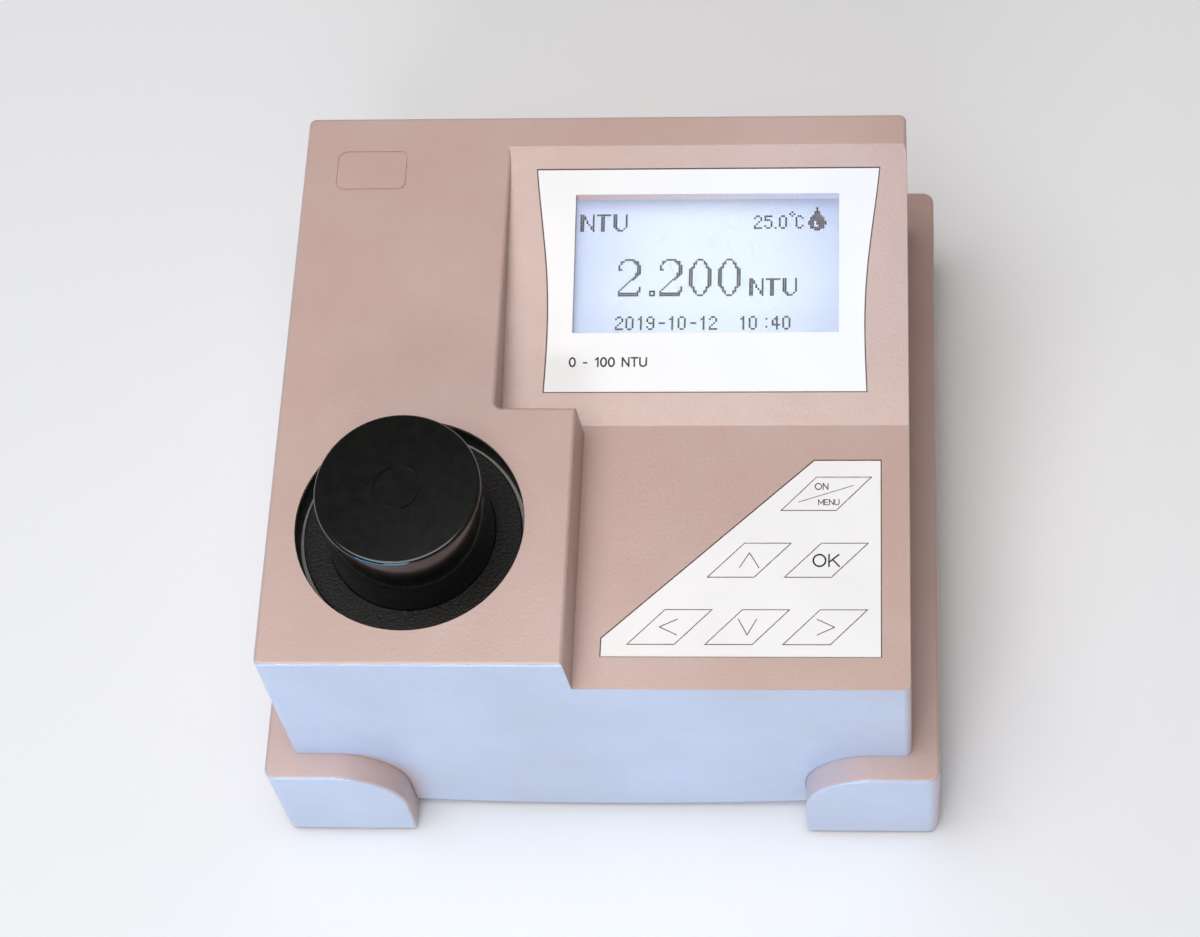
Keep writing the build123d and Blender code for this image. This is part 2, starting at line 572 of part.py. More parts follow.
# ---------------------------------------------------------------- optics
BX0, BX1, BY0, BY1, BZ0, BZ1 = CX - 19.0, CX + 19.0, CY - 19.0, CY + 33.0, 34.0, 62.0
with BuildPart() as optical_block:
    box_at(BX0, BX1, BY0, BY1, BZ0, BZ1)
    rod_z(CX, CY, 20, 80, TUBE_R + 0.1, Mode.SUBTRACT)
    rod_y(CX, CY, BY1 + 1, OPT_Z, 3.0, Mode.SUBTRACT)
    rod_y(CX, -20.0, BY1 + 1, OPT_Z, 6.1, Mode.SUBTRACT)
    rod_y(CX, BY0 - 1, CY, OPT_Z, 4.75, Mode.SUBTRACT)
    rod_x(CX, BX1 + 1, CY, OPT_Z, 4.75, Mode.SUBTRACT)
    with BuildSketch(Plane.XY.offset(20)):
        with Locations(*BLOCK_SCREWS):
            Circle(1.7)
    extrude(amount=60, mode=Mode.SUBTRACT)
    for a, b in ((-8.5, -8.5), (8.5, 8.5)):
        rod_x(BX1 - 1, BX1 + 3.0, CY + a, OPT_Z + b, 2.0)
        rod_x(BX1 - 1, BX1 + 4.0, CY + a, OPT_Z + b, 0.95, Mode.SUBTRACT)
        rod_y(CX + a, BY0 - 3.0, BY0 + 1, OPT_Z + b, 2.0)
        rod_y(CX + a, BY0 - 4.0, BY0 + 1, OPT_Z + b, 0.95, Mode.SUBTRACT)
        rod_y(CX + a, BY1 - 1, BY1 + 6.0, OPT_Z + b, 2.0)
        rod_y(CX + a, BY1 + 1, BY1 + 7.0, OPT_Z + b, 0.95, Mode.SUBTRACT)
optical_block.part.label = "optical_block"
export_step(optical_block.part, "parts/optical_block.step")

with BuildPart() as block_screws:
    with BuildSketch(Plane.XY.offset(BZ1)):
        with Locations(*BLOCK_SCREWS):
            Circle(2.75)
    extrude(amount=2.2)
    with BuildSketch(Plane.XY.offset(26)):
        with Locations(*BLOCK_SCREWS):
            Circle(1.25)
    extrude(amount=BZ1 + 1 - 26)
block_screws.part.label = "block_screws"
export_step(block_screws.part, "parts/block_screws.step")

with BuildPart() as collimator_lens:
    with BuildSketch(Plane(origin=(CX, -20, OPT_Z), x_dir=(1, 0, 0), z_dir=(0, 0, 1))):
        Polygon((0, 0.1), (6.0, 0.1), (6.0, 1.2), (5.2, 1.68), (4.3, 2.1), (3.3, 2.45), (2.2, 2.72), (1.1, 2.88), (0, 2.94), align=None)
    revolve(axis=Axis((CX, -20, OPT_Z), (0, 1, 0)))
collimator_lens.part.label = "collimator_lens"
export_step(collimator_lens.part, "parts/collimator_lens.step")

with BuildPart() as lens_retainer:
    rod_y(CX, -17.0, -15.4, OPT_Z, 6.0)
    rod_y(CX, -18.0, -14.0, OPT_Z, 4.9, Mode.SUBTRACT)
lens_retainer.part.label = "lens_retainer"
export_step(lens_retainer.part, "parts/lens_retainer.step")

with BuildPart() as aperture_disc:
    rod_y(CX, -15.3, -14.6, OPT_Z, 6.0)
    rod_y(CX, -18.0, -14.0, OPT_Z, 1.5, Mode.SUBTRACT)
aperture_disc.part.label = "aperture_disc"
export_step(aperture_disc.part, "parts/aperture_disc.step")

with BuildPart() as lamp_holder:
    rod_y(CX, -14.5, -7.0, OPT_Z, 6.0)
    rod_y(CX, BY1 + 0.02, BY1 + 2.5, OPT_Z, 8.5)
    rod_y(CX, -20.0, 0.0, OPT_Z, 2.6, Mode.SUBTRACT)
    rod_y(CX, -8.4, 0.0, OPT_Z, 3.0, Mode.SUBTRACT)
lamp_holder.part.label = "lamp_holder"
export_step(lamp_holder.part, "parts/lamp_holder.step")

with BuildPart() as lamp_led:
    rod_y(CX, -11.5, -7.0, OPT_Z, 2.5)
    with Locations((CX, -11.5, OPT_Z)):
        Sphere(2.5)
    rod_y(CX, -8.3, -7.2, OPT_Z, 2.9)
    for dx in (-1.27, 1.27):
        rod_y(CX + dx, -7.5, -0.6, OPT_Z, 0.25)
lamp_led.part.label = "lamp_led"
export_step(lamp_led.part, "parts/lamp_led.step")

with BuildPart() as lamp_board:
    box_at(CX - 11, CX + 11, BY1 + 6.05, BY1 + 7.65, OPT_Z - 11, OPT_Z + 11)
    for dx in (-1.27, 1.27):
        rod_y(CX + dx, BY1 + 5, BY1 + 9, OPT_Z, 0.3, Mode.SUBTRACT)
    for a, b in ((-8.5, -8.5), (8.5, 8.5)):
        rod_y(CX + a, BY1 + 5, BY1 + 9, OPT_Z + b, 1.1, Mode.SUBTRACT)
    box_at(CX - 5, CX + 5, BY1 + 7.6, BY1 + 12.6, OPT_Z - 9.5, OPT_Z - 4)
lamp_board.part.label = "lamp_board"
export_step(lamp_board.part, "parts/lamp_board.step")

with BuildPart() as scatter_detector:
    rod_x(CX + 15.5, BX1 + 0.05, CY, OPT_Z, 4.6)
    rod_x(BX1 + 0.05, BX1 + 1.0, CY, OPT_Z, 5.6)
    for a, b in ((1.8, 0), (-1.8, 0), (0, -1.8)):
        rod_x(BX1 + 0.9, BX1 + 5.0, CY + a, OPT_Z + b, 0.25)
scatter_detector.part.label = "scatter_detector"
export_step(scatter_detector.part, "parts/scatter_detector.step")

with BuildPart() as scatter_board:
    box_at(BX1 + 3.05, BX1 + 4.65, CY - 11, CY + 11, OPT_Z - 11, OPT_Z + 11)
    for a, b in ((1.8, 0), (-1.8, 0), (0, -1.8)):
        rod_x(BX1 + 2, BX1 + 6, CY + a, OPT_Z + b, 0.3, Mode.SUBTRACT)
    for a, b in ((-8.5, -8.5), (8.5, 8.5)):
        rod_x(BX1 + 2, BX1 + 6, CY + a, OPT_Z + b, 1.1, Mode.SUBTRACT)
    box_at(BX1 + 4.6, BX1 + 6.6, CY - 3, CY + 3, OPT_Z + 3, OPT_Z + 8)
    box_at(BX1 + 4.6, BX1 + 8.6, CY - 4, CY + 4, OPT_Z - 10, OPT_Z - 5)
scatter_board.part.label = "scatter_board"
export_step(scatter_board.part, "parts/scatter_board.step")

with BuildPart() as transmission_detector:
    rod_y(CX, BY0 - 0.05, CY - 15.5, OPT_Z, 4.6)
    rod_y(CX, BY0 - 1.0, BY0 - 0.05, OPT_Z, 5.6)
    for a, b in ((1.8, 0), (-1.8, 0), (0, -1.8)):
        rod_y(CX + a, BY0 - 5.0, BY0 - 0.9, OPT_Z + b, 0.25)
transmission_detector.part.label = "transmission_detector"
export_step(transmission_detector.part, "parts/transmission_detector.step")

with BuildPart() as transmission_board:
    box_at(CX - 11, CX + 11, BY0 - 4.65, BY0 - 3.05, OPT_Z - 11, OPT_Z + 11)
    for a, b in ((1.8, 0), (-1.8, 0), (0, -1.8)):
        rod_y(CX + a, BY0 - 6, BY0 - 2, OPT_Z + b, 0.3, Mode.SUBTRACT)
    for a, b in ((-8.5, -8.5), (8.5, 8.5)):
        rod_y(CX + a, BY0 - 6, BY0 - 2, OPT_Z + b, 1.1, Mode.SUBTRACT)
    box_at(CX - 3, CX + 3, BY0 - 6.6, BY0 - 4.6, OPT_Z + 3, OPT_Z + 8)
    box_at(CX - 4, CX + 4, BY0 - 8.6, BY0 - 4.6, OPT_Z - 10, OPT_Z - 5)
transmission_board.part.label = "transmission_board"
export_step(transmission_board.part, "parts/transmission_board.step")

with BuildPart() as detector_screws:
    for a, b in ((-8.5, -8.5), (8.5, 8.5)):
        rod_x(BX1 + 4.68, BX1 + 6.2, CY + a, OPT_Z + b, 1.9)
        rod_x(BX1 + 0.2, BX1 + 5.0, CY + a, OPT_Z + b, 0.9)
        rod_y(CX + a, BY0 - 6.2, BY0 - 4.68, OPT_Z + b, 1.9)
        rod_y(CX + a, BY0 - 5.0, BY0 - 0.2, OPT_Z + b, 0.9)
        rod_y(CX + a, BY1 + 7.68, BY1 + 9.2, OPT_Z + b, 1.9)
        rod_y(CX + a, BY1 + 2.0, BY1 + 8.0, OPT_Z + b, 0.9)
detector_screws.part.label = "detector_screws"
export_step(detector_screws.part, "parts/detector_screws.step")

# ---------------------------------------------------------------- electronics
with BuildPart() as main_board:
    with BuildSketch(Plane.XY.offset(10.05)):
        with Locations((23.0, 0)):
            RectangleRounded(82.0, 124.0, 2.0)
        with Locations(*BOARD_SCREWS):
            Circle(1.35, mode=Mode.SUBTRACT)
    extrude(amount=1.6)
main_board.part.label = "main_board"
export_step(main_board.part, "parts/main_board.step")

with BuildPart() as board_chips:
    for x, y, w, d, h in ((25, -8, 14, 14, 1.6), (4, -20, 10, 6, 2), (4, -34, 10, 6, 2), (4, 14, 8, 5, 1.8),
                          (46, -8, 6, 5, 1.5), (48, 14, 10, 8, 2.2), (30, 18, 5, 4, 1.5), (0, -2, 5, 6, 1.6)):
        box_at(x - w / 2, x + w / 2, y - d / 2, y + d / 2, 11.65, 11.65 + h)
    for x, y, r, h in ((38, 40, 4, 11), (28, 40, 4, 11), (57, 30, 3, 8), (16, 30, 2.5, 6)):
        rod_z(x, y, 11.65, 11.65 + h, r)
    box_at(38, 42, -30, -20, 11.65, 15.0)
board_chips.part.label = "board_chips"
export_step(board_chips.part, "parts/board_chips.step")

with BuildPart() as board_connectors:
    box_at(TAIL_X - 8, TAIL_X + 8, -61.5, -57.8, 11.65, 16.0)
    box_at(9, 42, 1.4, 6.2, 11.65, 18.0)
    box_at(-17, -9, 5, 13, 11.65, 18.0)
    box_at(-17, -9, -45, -37, 11.65, 18.0)
    box_at(-17, -9, -34, -26, 11.65, 18.0)
    box_at(40, 56, 52, 60.5, 11.65, 21.0)
board_connectors.part.label = "board_connectors"
export_step(board_connectors.part, "parts/board_connectors.step")

with BuildPart() as coin_cell_holder:
    rod_z(3, 46, 11.65, 16.6, 11.6)
    rod_z(3, 46, 12.9, 20.0, 10.2, Mode.SUBTRACT)
    box_at(-1.5, 7.5, 52, 60, 12.9, 20.0, Mode.SUBTRACT)
coin_cell_holder.part.label = "coin_cell_holder"
export_step(coin_cell_holder.part, "parts/coin_cell_holder.step")

with BuildPart() as coin_cell:
    rod_z(3, 46, 12.95, 16.15, 10.0)
    chamfer(coin_cell.edges().filter_by_position(Axis.Z, 16.1, 16.2), 0.3)
coin_cell.part.label = "coin_cell"
export_step(coin_cell.part, "parts/coin_cell.step")

with BuildPart() as buzzer:
    rod_z(54, -38, 11.65, 19.0, 6.0)
    rod_z(54, -38, 17.0, 20.0, 1.2, Mode.SUBTRACT)
buzzer.part.label = "buzzer"
export_step(buzzer.part, "parts/buzzer.step")

with BuildPart() as heat_sink:
    box_at(57, 63, 0, 22, 11.65, 13.2)
    for i in range(4):
        box_at(57.0 + 1.6 * i, 58.0 + 1.6 * i, 0, 22, 13.0, 26.0)
heat_sink.part.label = "heat_sink"
export_step(heat_sink.part, "parts/heat_sink.step")

with BuildPart() as board_screws:
    with BuildSketch(Plane.XY.offset(11.7)):
        with Locations(*BOARD_SCREWS):
            Circle(2.4)
    extrude(amount=1.9)
    with BuildSketch(Plane.XY.offset(5.4)):
        with Locations(*BOARD_SCREWS):
            Circle(1.1)
    extrude(amount=7.0)
board_screws.part.label = "board_screws"
export_step(board_screws.part, "parts/board_screws.step")

with BuildPart() as dc_inlet:
    rod_y(JACK_X, 82.65, 84.1, JACK_Z, 7.0)
    rod_y(JACK_X, 68.0, 83.0, JACK_Z, 5.5)
    rod_y(JACK_X, 73.0, 90.0, JACK_Z, 2.9, Mode.SUBTRACT)
    rod_y(JACK_X, 71.0, 83.6, JACK_Z, 1.05)
    box_at(JACK_X - 2.0, JACK_X + 2.0, 64.0, 69.0, JACK_Z - 1.0, JACK_Z - 0.4)
    box_at(JACK_X - 2.0, JACK_X + 2.0, 64.0, 69.0, JACK_Z + 1.6, JACK_Z + 2.2)
dc_inlet.part.label = "dc_inlet"
export_step(dc_inlet.part, "parts/dc_inlet.step")

with BuildPart() as inlet_nut:
    with BuildSketch(Plane.XZ.offset(-78.95)):
        with Locations((JACK_X, JACK_Z)):
            RegularPolygon(8.0, 6)
            Circle(5.55, mode=Mode.SUBTRACT)
    extrude(amount=2.2)
inlet_nut.part.label = "inlet_nut"
export_step(inlet_nut.part, "parts/inlet_nut.step")

# ---------------------------------------------------------------- leads fixed inside the case
with BuildPart() as keypad_tail:
    box_at(TAIL_X - 6, TAIL_X + 6, TAIL_Y - 0.15, TAIL_Y + 0.15, 18.0, 77.15)
    box_at(TAIL_X - 6, TAIL_X + 6, TAIL_Y - 0.15, -59.6, 17.7, 18.0)
    box_at(TAIL_X - 6, TAIL_X + 6, -59.9, -59.6, 16.02, 18.0)
keypad_tail.part.label = "keypad_tail"
export_step(keypad_tail.part, "parts/keypad_tail.step")

with BuildPart() as lcd_ribbon:
    box_at(12.5, 38.5, 3.4, 4.2, 18.05, 62.0)
    box_at(12.5, 38.5, 3.4, 7.6, 61.2, 62.0)
    box_at(12.5, 38.5, 6.8, 7.6, 61.2, 62.9)
lcd_ribbon.part.label = "lcd_ribbon"
export_step(lcd_ribbon.part, "parts/lcd_ribbon.step")

with BuildPart() as lamp_lead:
    with BuildLine() as lamp_path:
        Spline((CX, BY1 + 12.65, 41.2), (CX + 4, BY1 + 17.0, 36.0), (-25.0, 13.5, 27.0), (-13.0, 9.0, 18.05),
               tangents=((0, 1, 0), (0, 0, -1)))
    with BuildSketch(Plane(origin=lamp_path.line @ 0, z_dir=lamp_path.line % 0)):
        Circle(1.2)
    sweep()
lamp_lead.part.label = "lamp_lead"
export_step(lamp_lead.part, "parts/lamp_lead.step")

with BuildPart() as scatter_lead:
    with BuildLine() as scatter_path:
        Spline((BX1 + 8.65, CY, 40.5), (-11.0, CY + 2.0, 33.0), (-13.0, -30.0, 18.05),
               tangents=((1, 0, 0), (0, 0, -1)))
    with BuildSketch(Plane(origin=scatter_path.line @ 0, z_dir=scatter_path.line % 0)):
        Circle(1.2)
    sweep()
scatter_lead.part.label = "scatter_lead"
export_step(scatter_lead.part, "parts/scatter_lead.step")

with BuildPart() as transmission_lead:
    with BuildLine() as transmission_path:
        Spline((CX, BY0 - 6.6, 37.95), (-37.0, BY0 - 6.4, 28.0), (-22.5, -62.5, 24.0), (-13.0, -41.0, 18.05),
               tangents=((0, 0, -1), (0, 0, -1)))
    with BuildSketch(Plane(origin=transmission_path.line @ 0, z_dir=transmission_path.line % 0)):
        Circle(1.2)
    sweep()
transmission_lead.part.label = "transmission_lead"
export_step(transmission_lead.part, "parts/transmission_lead.step")
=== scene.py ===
import json
import math

import bpy
from mathutils import Matrix, Vector


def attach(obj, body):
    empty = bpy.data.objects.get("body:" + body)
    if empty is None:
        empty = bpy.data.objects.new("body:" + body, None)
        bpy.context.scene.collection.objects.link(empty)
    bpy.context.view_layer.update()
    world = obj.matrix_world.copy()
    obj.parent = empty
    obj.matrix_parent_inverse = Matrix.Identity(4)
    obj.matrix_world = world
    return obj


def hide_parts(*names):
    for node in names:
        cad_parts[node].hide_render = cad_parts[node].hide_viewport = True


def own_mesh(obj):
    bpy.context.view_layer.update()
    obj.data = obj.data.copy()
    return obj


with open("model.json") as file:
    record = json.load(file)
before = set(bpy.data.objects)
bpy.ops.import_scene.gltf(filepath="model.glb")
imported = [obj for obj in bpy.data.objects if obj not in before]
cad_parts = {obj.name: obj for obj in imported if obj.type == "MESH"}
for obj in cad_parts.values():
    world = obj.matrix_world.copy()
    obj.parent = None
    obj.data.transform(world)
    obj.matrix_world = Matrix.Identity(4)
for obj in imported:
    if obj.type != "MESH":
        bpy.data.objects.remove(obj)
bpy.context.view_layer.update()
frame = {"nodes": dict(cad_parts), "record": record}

scene = bpy.context.scene
MM = 0.001

# ------------------------------------------------------------------ the part's own planes (mm, row frame)
TOP_Z, KEY_Z = 92.9, 79.0
SLOPE_Y0, SLOPE_Y1 = -8.155, 63.775
ANG = math.atan2(TOP_Z - KEY_Z, SLOPE_Y1 - SLOPE_Y0)
LCD_X, LCD_S = 25.95, 31.2
CX, CY, CAP_Z = -41.68, -41.065, 112.0
KEY_TOP = 78.75
KEYS = {
    "key_power": (53.6, -22.1, 12.95, 8.245),
    "key_up": (36.6, -39.6, 10.85, 8.5),
    "key_ok": (54.9, -39.6, 10.85, 8.5),
    "key_left": (18.15, -56.85, 10.85, 8.5),
    "key_down": (36.45, -56.85, 10.85, 8.5),
    "key_right": (54.75, -56.85, 10.85, 8.5),
}
KEY_H = 8.7


def slope_matrix(depth):
    """local x across, y up the slope, z out of it; depth in mm along the outward normal"""
    s, c = math.sin(ANG), math.cos(ANG)
    m = Matrix(((1, 0, 0, 0), (0, c, -s, 0), (0, s, c, 0), (0, 0, 0, 1)))
    n = Vector((0, -s, c))
    o = (Vector((0, SLOPE_Y1, TOP_Z)) + n * depth) * MM
    return Matrix.Translation(o) @ m


# ------------------------------------------------------------------ node helpers
class Graph:
    """short hand for one material's node tree; lengths in it are millimetres"""

    def __init__(self, name):
        self.mat = bpy.data.materials.new(name)
        self.mat.use_nodes = True
        self.t = self.mat.node_tree
        self.t.nodes.clear()
        self.out = self.t.nodes.new("ShaderNodeOutputMaterial")
        tc = self.t.nodes.new("ShaderNodeTexCoord")
        mp = self.t.nodes.new("ShaderNodeMapping")
        mp.inputs["Scale"].default_value = (1000, 1000, 1000)
        self.link(tc.outputs["Object"], mp.inputs["Vector"])
        self.mm = mp.outputs["Vector"]

    def node(self, kind, **kw):
        n = self.t.nodes.new(kind)
        for k, v in kw.items():
            setattr(n, k, v)
        return n

    def link(self, a, b):
        self.t.links.new(a, b)

    def put(self, socket, value):
        if isinstance(value, bpy.types.NodeSocket):
            self.link(value, socket)
        else:
            socket.default_value = value

    def noise(self, scale, detail=2.0, rough=0.5, vec=None, distortion=0.0):
        n = self.node("ShaderNodeTexNoise")
        n.inputs["Scale"].default_value = scale
        n.inputs["Detail"].default_value = detail
        n.inputs["Roughness"].default_value = rough
        n.inputs["Distortion"].default_value = distortion
        self.link(vec or self.mm, n.inputs["Vector"])
        return n.outputs["Fac"]

    def voronoi(self, scale, feature="F1", vec=None, out="Distance", randomness=1.0):
        n = self.node("ShaderNodeTexVoronoi", feature=feature)
        n.inputs["Scale"].default_value = scale
        n.inputs["Randomness"].default_value = randomness
        self.link(vec or self.mm, n.inputs["Vector"])
        return n.outputs[out]

    def math(self, op, a, b=0.0, c=0.0, clamp=False):
        n = self.node("ShaderNodeMath", operation=op, use_clamp=clamp)
        self.put(n.inputs[0], a)
        self.put(n.inputs[1], b)
        if len(n.inputs) > 2:
            self.put(n.inputs[2], c)
        return n.outputs[0]

    def ramp(self, fac, lo, hi, a=0.0, b=1.0, smooth=False):
        n = self.node("ShaderNodeMapRange", interpolation_type="SMOOTHSTEP" if smooth else "LINEAR")
        n.clamp = True
        self.put(n.inputs["Value"], fac)
        n.inputs["From Min"].default_value = lo
        n.inputs["From Max"].default_value = hi
        n.inputs["To Min"].default_value = a
        n.inputs["To Max"].default_value = b
        return n.outputs["Result"]

    def mix(self, fac, a, b, mode="MIX"):
        n = self.node("ShaderNodeMix", data_type="RGBA", blend_type=mode)
        self.put(n.inputs["Factor"], fac)
        self.put(n.inputs["A"] if n.inputs["A"].type == "RGBA" else n.inputs[6], a if not isinstance(a, tuple) else (*a, 1.0)[:4])
        self.put(n.inputs[7], b if not isinstance(b, tuple) else (*b, 1.0)[:4])
        return n.outputs[2]

    def xyz(self, vec=None):
        n = self.node("ShaderNodeSeparateXYZ")
        self.link(vec or self.mm, n.inputs[0])
        return n.outputs

    def normal_z(self):
        g = self.node("ShaderNodeNewGeometry")
        return self.xyz(g.outputs["Normal"])

    def bump(self, height, distance_mm, strength=1.0, base=None):
        n = self.node("ShaderNodeBump")
        n.inputs["Strength"].default_value = strength
        n.inputs["Distance"].default_value = distance_mm * MM
        self.link(height, n.inputs["Height"])
        if base is not None:
            self.link(base, n.inputs["Normal"])
        return n.outputs["Normal"]

    def principled(self, color, rough=0.5, metal=0.0, normal=None, spec=0.5, coat=0.0, coat_rough=0.1, emission=None, strength=0.0, sss=0.0):
        p = self.node("ShaderNodeBsdfPrincipled")
        self.put(p.inputs["Base Color"], color if not isinstance(color, tuple) else (*color, 1.0)[:4])
        self.put(p.inputs["Roughness"], rough)
        self.put(p.inputs["Metallic"], metal)
        self.put(p.inputs["Specular IOR Level"], spec)
        self.put(p.inputs["Coat Weight"], coat)
        p.inputs["Coat Roughness"].default_value = coat_rough
        if sss:
            p.inputs["Subsurface Weight"].default_value = sss
            p.inputs["Subsurface Radius"].default_value = (0.001, 0.0008, 0.0006)
        if normal is not None:
            self.link(normal, p.inputs["Normal"])
        if emission is not None:
            self.put(p.inputs["Emission Color"], emission if not isinstance(emission, tuple) else (*emission, 1.0)[:4])
            self.put(p.inputs["Emission Strength"], strength)
        return p

    def done(self, shader):
        self.link(shader.outputs[0] if hasattr(shader, "outputs") else shader, self.out.inputs["Surface"])
        return self.mat


def lin(r, g, b):
    """sRGB 0-255 to linear"""
    f = lambda v: (v / 255 / 12.92) if v / 255 <= 0.04045 else (((v / 255) + 0.055) / 1.055) ** 2.4
    return (f(r), f(g), f(b))


# ------------------------------------------------------------------ materials
def housing_material():
    g = Graph("housing_moulded")
    base, warm, pale = lin(203, 173, 164), lin(198, 167, 156), lin(209, 182, 175)
    cloud = g.noise(0.018, 3, 0.6)
    fine = g.noise(1.9, 2, 0.6)
    col = g.mix(g.ramp(cloud, 0.35, 0.68), warm, pale)
    col = g.mix(g.ramp(fine, 0.3, 0.72, 0.0, 0.30), col, base)
    grain = g.ramp(g.noise(3.4, 1, 0.5), 0.35, 0.65)
    col = g.mix(g.math("MULTIPLY", grain, 0.22), col, lin(183, 151, 142))
    # sparse dark specks and pale scuffs left by use
    cell = g.voronoi(0.055, out="Distance")
    pick = g.node("ShaderNodeTexVoronoi", feature="F1")
    pick.inputs["Scale"].default_value = 0.055
    g.link(g.mm, pick.inputs["Vector"])
    rnd = g.xyz(pick.outputs["Color"])[0]
    speck = g.math("MULTIPLY", g.math("LESS_THAN", cell, 0.021), g.math("GREATER_THAN", rnd, 0.90))
    speck = g.math("MULTIPLY", speck, g.ramp(g.noise(2.2, 2), 0.42, 0.52))
    col = g.mix(g.math("MULTIPLY", speck, 0.75), col, lin(92, 74, 66))
    smear = g.ramp(g.noise(0.09, 4, 0.7, distortion=1.2), 0.66, 0.78, 0.0, 0.20, smooth=True)
    col = g.mix(smear, col, lin(176, 150, 138))
    # the rounded edges along the front are smoother than the flats, so the lights catch them
    tc = g.node("ShaderNodeTexCoord")
    facing = g.xyz(tc.outputs["Normal"])
    edge = g.math("MULTIPLY", g.ramp(g.math("MULTIPLY", facing[1], -1.0), 0.44, 0.60), g.ramp(facing[2], 0.40, 0.56))
    leather = g.voronoi(1.55, feature="SMOOTH_F1")
    height = g.math("ADD", g.math("MULTIPLY", leather, 0.7), g.math("MULTIPLY", g.noise(4.6, 2, 0.6), 0.5))
    nor = g.bump(height, 0.06, 0.6)
    rough = g.math("SUBTRACT", g.ramp(g.noise(0.35, 3), 0.3, 0.7, 0.31, 0.39), g.math("MULTIPLY", edge, 0.20))
    return g.done(g.principled(col, rough, 0.0, nor, spec=0.85))


def painted_lit_lip_material():
    # painted light: the lip is the housing's plastic, coloured paler than the housing so that the shaded lip reads as
    # lit
    g = Graph("lip_pale")
    n = g.noise(2.4, 2)
    col = g.mix(g.ramp(n, 0.3, 0.7), lin(228, 198, 192), lin(240, 214, 210))
    return g.done(g.principled(col, g.ramp(n, 0.3, 0.7, 0.34, 0.42), 0.0, g.bump(n, 0.03, 0.5), spec=0.6))


def black_material(name, rough_lo, rough_hi, bump_mm, scale, tint=(30, 29, 27)):
    g = Graph(name)
    col = g.mix(g.ramp(g.noise(0.25, 3), 0.35, 0.7), lin(*[max(0, v - 7) for v in tint]), lin(*[v + 5 for v in tint]))
    dust = g.ramp(g.noise(6.0, 2, 0.7), 0.68, 0.76, 0.0, 0.10)
    col = g.mix(dust, col, lin(110, 104, 98))
    h = g.math("ADD", g.voronoi(scale, feature="SMOOTH_F1"), g.math("MULTIPLY", g.noise(scale * 2.2, 2), 0.6))
    nor = g.bump(h, bump_mm, 0.8)
    rough = g.ramp(g.noise(0.5, 2), 0.3, 0.7, rough_lo, rough_hi)
    return g.done(g.principled(col, rough, 0.0, nor, spec=0.32))


def cap_material():
    """smooth satin on the cap's body, coarse grain on its brim"""
    g = Graph("cap_black")
    xyz = g.xyz()
    on_brim = g.ramp(xyz[2], 87.5, 87.9, 1.0, 0.0)
    tc = g.node("ShaderNodeTexCoord")
    top = g.math("MULTIPLY", g.ramp(g.xyz(tc.outputs["Normal"])[2], 0.975, 0.999), g.ramp(xyz[2], 110.5, 111.0))
    col = g.mix(g.ramp(g.noise(0.2, 3), 0.35, 0.7), lin(4, 4, 3), lin(9, 8, 6))
    col = g.mix(on_brim, col, lin(15, 13, 11))
    # pale flecks on the brim are painted glints, standing in for its grain catching the light
    painted_glint = g.ramp(g.noise(2.6, 2, 0.7), 0.58, 0.72, 0.0, 0.5)
    col = g.mix(g.math("MULTIPLY", painted_glint, on_brim), col, lin(104, 92, 88))
    fine = g.noise(5.0, 2, 0.6)
    coarse = g.math("ADD", g.voronoi(1.9, feature="SMOOTH_F1"), g.math("MULTIPLY", g.noise(3.2, 2), 0.7))
    h = g.math("ADD", g.math("MULTIPLY", coarse, g.math("MULTIPLY", on_brim, 1.0)), g.math("MULTIPLY", fine, g.math("ADD", g.math("MULTIPLY", top, 0.02), 0.008)))
    nor = g.bump(h, 0.12, 0.8)
    rough = g.math("ADD", g.ramp(g.noise(0.4, 3), 0.3, 0.7, 0.17, 0.21), g.math("MULTIPLY", on_brim, 0.26))
    return g.done(g.principled(col, rough, 0.0, nor, spec=0.24, coat=g.math("MULTIPLY", g.math("SUBTRACT", 0.85, g.math("MULTIPLY", top, 0.8)), g.math("SUBTRACT", 1.0, on_brim)), coat_rough=0.08))


def label_material():
    g = Graph("label_white")
    col = g.mix(g.ramp(g.noise(0.05, 3), 0.3, 0.7), (0.92, 0.92, 0.92), (0.96, 0.96, 0.96))
    col = g.mix(g.ramp(g.noise(0.8, 4, 0.75), 0.69, 0.76, 0.0, 0.10), col, (0.55, 0.53, 0.50))
    nor = g.bump(g.noise(5.5, 2, 0.6), 0.012, 0.5)
    rough = g.ramp(g.noise(0.2, 3), 0.3, 0.7, 0.34, 0.46)
    return g.done(g.principled(col, rough, 0.0, nor, spec=0.4))


def ink_material(name, rgb):
    g = Graph(name)
    col = g.mix(g.ramp(g.noise(3.0, 2), 0.4, 0.7, 0.0, 0.35), lin(*rgb), lin(*[min(255, v + 38) for v in rgb]))
    return g.done(g.principled(col, 0.42, 0.0, g.bump(g.noise(8.0, 2), 0.004, 0.4)))


def felt_material():
    g = Graph("felt_grey")
    f = g.noise(4.0, 4, 0.8)
    col = g.mix(g.ramp(f, 0.35, 0.65), lin(150, 150, 146), lin(186, 186, 180))
    nor = g.bump(f, 0.25, 0.9)
    return g.done(g.principled(col, 0.85, 0.0, nor, spec=0.2))


def foam_material():
    g = Graph("foam_black")
    v = g.voronoi(1.4)
    col = g.mix(g.ramp(v, 0.1, 0.6), lin(20, 20, 20), lin(52, 51, 50))
    return g.done(g.principled(col, 0.9, 0.0, g.bump(v, 0.3, 0.9), spec=0.15))


def rubber_material():
    g = Graph("rubber_black")
    col = g.mix(g.ramp(g.noise(0.6, 3), 0.35, 0.7), lin(28, 28, 28), lin(44, 43, 42))
    col = g.mix(g.ramp(g.noise(3.0, 3), 0.62, 0.75, 0.0, 0.4), col, lin(120, 116, 110))
    return g.done(g.principled(col, 0.72, 0.0, g.bump(g.noise(3.0, 3), 0.05, 0.7), spec=0.3))


